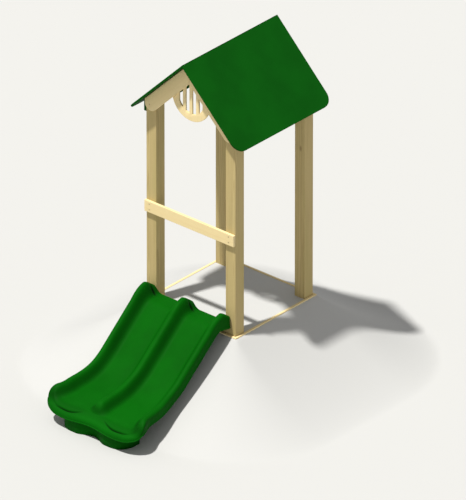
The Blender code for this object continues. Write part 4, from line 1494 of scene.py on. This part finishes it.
@dataclass
class LobedFoot:
    """The hollow moulded foot under the lip, with two lobes and faceted front corners.

    Attributes:
        corner: Radius of the two front corners.
        facets: Flat faces round each of them.
        rear_corner: Radius of the two rear corners.
        notch: Depth of the hollow between the lobes.
        notch_half: Half width of that hollow.
        wall: Thickness of the moulding.
        gap: Room between its top and the chute.
        nose_drop: Extra room under the lip's rolled edge.
        nose_start: How far in front of the foot that room would be full.
        nose_run: Length over which it runs out.
        shoulder: Width of its eased upper edge.
        ease: Inset and depth of the point midway round that edge.
        levels: Heights of the wall's rings, as shares.
        top_rings: Sizes of the top's rings, as shares.
        top_centre: How far behind the box's middle the top's rings close in.
        sharpest: Angle in degrees past which an edge stays sharp, so that the facets show.
    """

    corner: float = 0.130
    facets: int = 7
    rear_corner: float = 0.012
    notch: float = 0.050
    notch_half: float = 0.150
    wall: float = 0.010
    gap: float = 0.0012
    nose_drop: float = 0.008
    nose_start: float = 0.02
    nose_run: float = 0.05
    shoulder: float = 0.006
    ease: float = 0.0018
    levels: tuple[float, ...] = (0.0, 0.35, 0.7, 1.0)
    top_rings: tuple[float, ...] = (0.7, 0.4, 0.1)
    top_centre: float = 0.02
    sharpest: float = 9.0

    def build(self, moulding: bpy.types.Material, chute: WaveChute) -> list[bpy.types.Object]:
        """Makes and dresses the foot.

        Args:
            moulding: The moulding's material.
            chute: The chute that it carries.

        Returns:
            The foot in a list.
        """
        low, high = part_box("slide_foot")
        outline = self._outline(low, high)
        middle = np.array([0.0, (low.y + high.y) / 2 + self.top_centre])
        under = self._top(outline, chute, low) - self.shoulder
        rings = [np.column_stack([outline, low.z + (under - low.z) * share]) for share in self.levels]
        for inset, drop in ((self.ease, self.ease), (self.shoulder, 0.0)):
            shrunk = inset_outline(outline, inset)
            rings.append(np.column_stack([shrunk, self._top(shrunk, chute, low) - drop]))
        for share in self.top_rings:
            shrunk = middle + (inset_outline(outline, self.shoulder) - middle) * share
            rings.append(np.column_stack([shrunk, self._top(shrunk, chute, low)]))
        points = np.concatenate(rings)
        around = len(outline)
        faces = ring_quads(len(rings), around).tolist()
        last = (len(rings) - 1) * around
        faces.append(list(range(last, last + around)))
        foot = self._shell(points, faces)
        return [stand_in(foot, "slide_foot", moulding)]

    def _outline(self, low: Vector, high: Vector) -> np.ndarray:
        """Plan of the foot: straight rear, faceted front corners and a hollow between two lobes.

        The hollow is half a cosine wave to each side of the middle line.

        Args:
            low: Lowest corner of the foot's box.
            high: Its highest corner.

        Returns:
            Points round the plan, one row each.
        """
        half, nose, tail = high.x, low.y, high.y
        angle = np.linspace(0, np.pi / 2, self.facets + 1)
        side_x = half - self.corner * (1 - np.cos(angle))
        side_y = nose + self.corner * (1 - np.sin(angle))
        across = np.linspace(half - self.corner, -(half - self.corner), 61)[1:-1]
        rear = np.linspace(0, np.pi / 2, 5)
        rear_x = half - self.rear_corner * (1 - np.sin(rear))
        rear_y = tail - self.rear_corner * (1 - np.cos(rear))
        x = np.concatenate([rear_x, side_x, across, -side_x[::-1], -rear_x[::-1]])
        y = np.concatenate([rear_y, side_y, np.full_like(across, nose), side_y[::-1], rear_y[::-1]])
        hollow = self.notch * (1 - smooth_step(np.abs(x) / self.notch_half))
        return np.stack([x, y + np.where(y < nose + self.corner, hollow, 0.0)], axis=1)

    def _top(self, outline: np.ndarray, chute: WaveChute, low: Vector) -> np.ndarray:
        """Height just under the chute, lower at the nose."""
        nose = smooth_step(1 - (outline[:, 1] - low.y + self.nose_start) / self.nose_run)
        return chute.underside(outline[:, 1]) - self.gap - self.nose_drop * nose

    def _shell(self, points: np.ndarray, faces: Sequence[Sequence[int]]) -> bpy.types.Object:
        """The moulding, open below, thickened inwards.

        Args:
            points: Its points.
            faces: Its faces, the top's middle last.

        Returns:
            The new object.
        """
        mesh = bpy.data.meshes.new("lobed_foot")
        mesh.from_pydata(points.tolist(), [], faces)
        mesh.update()
        if mesh.polygons[len(mesh.polygons) - 1].normal.z < 0:
            mesh.flip_normals()
        foot = bpy.data.objects.new("lobed_foot", mesh)
        bpy.context.scene.collection.objects.link(foot)
        wall = foot.modifiers.new("wall", "SOLIDIFY")
        wall.thickness = self.wall
        wall.offset = -1
        mesh.shade_smooth()
        mesh.set_sharp_from_angle(angle=math.radians(self.sharpest))
        return foot


# ---- Fixings --------------------------------------------------------------


@dataclass
class Fixings:
    """Screws, bolts and nuts.

    Attributes:
        coated: Starts of the names of the screws in pale boards, which have a tan coat.
    """

    coated: tuple[str, ...] = ("guard_rail_screw", "gable_screw", "sun_panel_screw", "ground_screw")

    def build(self) -> list[bpy.types.Object]:
        """Dresses every fastener.

        Returns:
            The fasteners.
        """
        zinc, tan = ZINC.make(), COATED.make()
        made = []
        for name, node in sorted(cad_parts.items()):
            if any(word in name for word in ("screw", "bolt", "nut")):
                node.data.materials.clear()
                node.data.materials.append(tan if name.startswith(self.coated) else zinc)
                made.append(node)
        return made


# ---- Studio ---------------------------------------------------------------

BOARD_SHOWS = 0.008  # from the tower's own ground level to the ground boards' upper edges


@dataclass
class Studio:
    """The pale ground, the light and the camera.

    Attributes:
        azimuth: The camera's direction round the object, in degrees.
        elevation: Its height above the horizon, in degrees.
        per_metre: How many of the picture's dots make a metre.
        distance: How far off the camera stands.
        aim: The point in the picture's middle, from the tower's front left corner at the ground.
        key: Strength of the main light.
        key_from: Direction to the main light.
        key_softness: Its angle in degrees.
        key_colour: Its colour.
        ambient: Strength of the even light.
        reach: How far the mound runs out from the tower.
        proud: How far the ground boards stand out of the mound's top.
        under: How far inside the ground boards' outer faces the mound's level top ends.
        swell: Power of the mound's fall, 1 for a straight one.
        floor: The floor's colour.
    """

    azimuth: float = 41.1044
    elevation: float = 28.4706
    per_metre: float = 131.49
    distance: float = 150.0
    aim: tuple[float, float, float] = (0.7005, 0.2, 0.606)
    key: float = 4.6
    key_from: tuple[float, float, float] = (-0.11, -0.35, 1.0)
    key_softness: float = 2.5
    key_colour: Colour = (1.0, 0.985, 0.95)
    ambient: float = 0.42
    reach: float = 0.95
    proud: float = 0.004
    under: float = 0.005
    swell: float = 1.35
    floor: Colour = (0.50, 0.50, 0.49)

    def build(self, tall: int = PICTURE_HEIGHT) -> None:
        """Makes the ground, the lights and the camera.

        Args:
            tall: The picture's height in dots.
        """
        self._ground()
        self._light()
        self._camera(tall)
        bpy.context.scene.view_settings.view_transform = "Standard"

    def _ground(self) -> None:
        """A pale floor that swells into a low mound.

        Its height is the mound's top inside the tower's square. Outside, it falls
        with the distance to that square, steeply at first and more gently later.
        """
        low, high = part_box("ground_board_front")[0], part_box("ground_board_rear")[1]
        top = high.z - self.proud
        middle = (low + high) / 2
        half_x, half_y = (high.x - low.x) / 2, (high.y - low.y) / 2
        away = np.concatenate([np.linspace(0, 0.5, 30), np.linspace(0.52, 3.0, 90), [5, 10, 30, 90]])
        angle = np.linspace(0, 2 * np.pi, 241)[:-1]
        x = away[:, None] * np.cos(angle)
        y = away[:, None] * np.sin(angle)
        past_x = np.maximum(np.abs(x) - half_x + self.under, 0)
        past_y = np.maximum(np.abs(y) - half_y + self.under, 0)
        share = np.clip(np.hypot(past_x, past_y) / self.reach, 0, 1)
        z = top * (1 - share) ** self.swell
        points = np.stack([middle.x + x, middle.y + y, z], axis=-1).reshape(-1, 3)
        faces = ring_quads(len(away), len(angle)).tolist()
        mesh = bpy.data.meshes.new("ground")
        mesh.from_pydata((points - (0, 0, 0.0005)).tolist(), [], faces)
        mesh.update()
        if mesh.polygons[0].normal.z < 0:
            mesh.flip_normals()
        mesh.shade_smooth()
        ground = bpy.data.objects.new("ground", mesh)
        bpy.context.scene.collection.objects.link(ground)
        material, _, shader = new_material("pale_floor")
        shader.inputs["Base Color"].default_value = (*self.floor, 1.0)
        shader.inputs["Roughness"].default_value = 0.9
        dress(ground, material)

    def _light(self) -> None:
        """One main light from above and in front, and an even one from all round."""
        lamp = bpy.data.lights.new("key", "SUN")
        lamp.energy = self.key
        lamp.angle = math.radians(self.key_softness)
        lamp.color = self.key_colour
        key = bpy.data.objects.new("key", lamp)
        key.rotation_euler = Vector(self.key_from).to_track_quat("Z", "Y").to_euler()
        bpy.context.scene.collection.objects.link(key)
        world = bpy.data.worlds.new("studio")
        world.use_nodes = True
        make = Nodes(world.node_tree)
        background = world.node_tree.nodes["Background"]
        seen = make.add("LightPath").outputs["Is Camera Ray"]
        levels = {"Value": seen, "To Min": self.ambient, "To Max": 1.0}
        level = make.add("MapRange", levels).outputs["Result"]
        background.inputs["Color"].default_value = (1.0, 1.0, 1.0, 1.0)
        make.tree.links.new(level, background.inputs["Strength"])
        bpy.context.scene.world = world

    def _camera(self, tall: int) -> None:
        """A camera so far off that upright lines stay parallel.

        Args:
            tall: The picture's height in dots.
        """
        turn, lift = math.radians(self.azimuth), math.radians(self.elevation)
        back = Vector((math.sin(turn) * math.cos(lift), -math.cos(turn) * math.cos(lift), math.sin(lift)))
        left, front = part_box("post_front_left")[0].x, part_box("post_front_left")[0].y
        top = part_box("ground_board_front")[1].z - BOARD_SHOWS
        target = Vector((left + self.aim[0], front + self.aim[1], top + self.aim[2]))
        lens = bpy.data.cameras.new("camera")
        lens.sensor_width = 36.0
        lens.lens = lens.sensor_width * self.distance * self.per_metre / tall
        lens.clip_end = 3 * self.distance
        camera = bpy.data.objects.new("camera", lens)
        camera.location = target + back * self.distance
        camera.rotation_euler = back.to_track_quat("Z", "Y").to_euler()
        bpy.context.scene.collection.objects.link(camera)
        bpy.context.scene.camera = camera


# ---- Everything in order --------------------------------------------------


def main() -> None:
    """Builds every sub-assembly in order."""
    logging.basicConfig(level=logging.INFO, format="%(message)s")
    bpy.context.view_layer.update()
    Studio().build()
    effects = SharedEffects()
    chute = WaveChute()
    made = TowerFrame().build(effects)
    made += GableAndRoof().build(effects)
    moulding = MOULDING.make(effects)
    made += chute.build(moulding)
    made += LobedFoot().build(moulding, chute)
    made += Fixings().build()
    for piece in made:
        LOG.info("%s: %d faces", piece.name, len(piece.data.polygons))


if __name__ == "__main__":
    main()
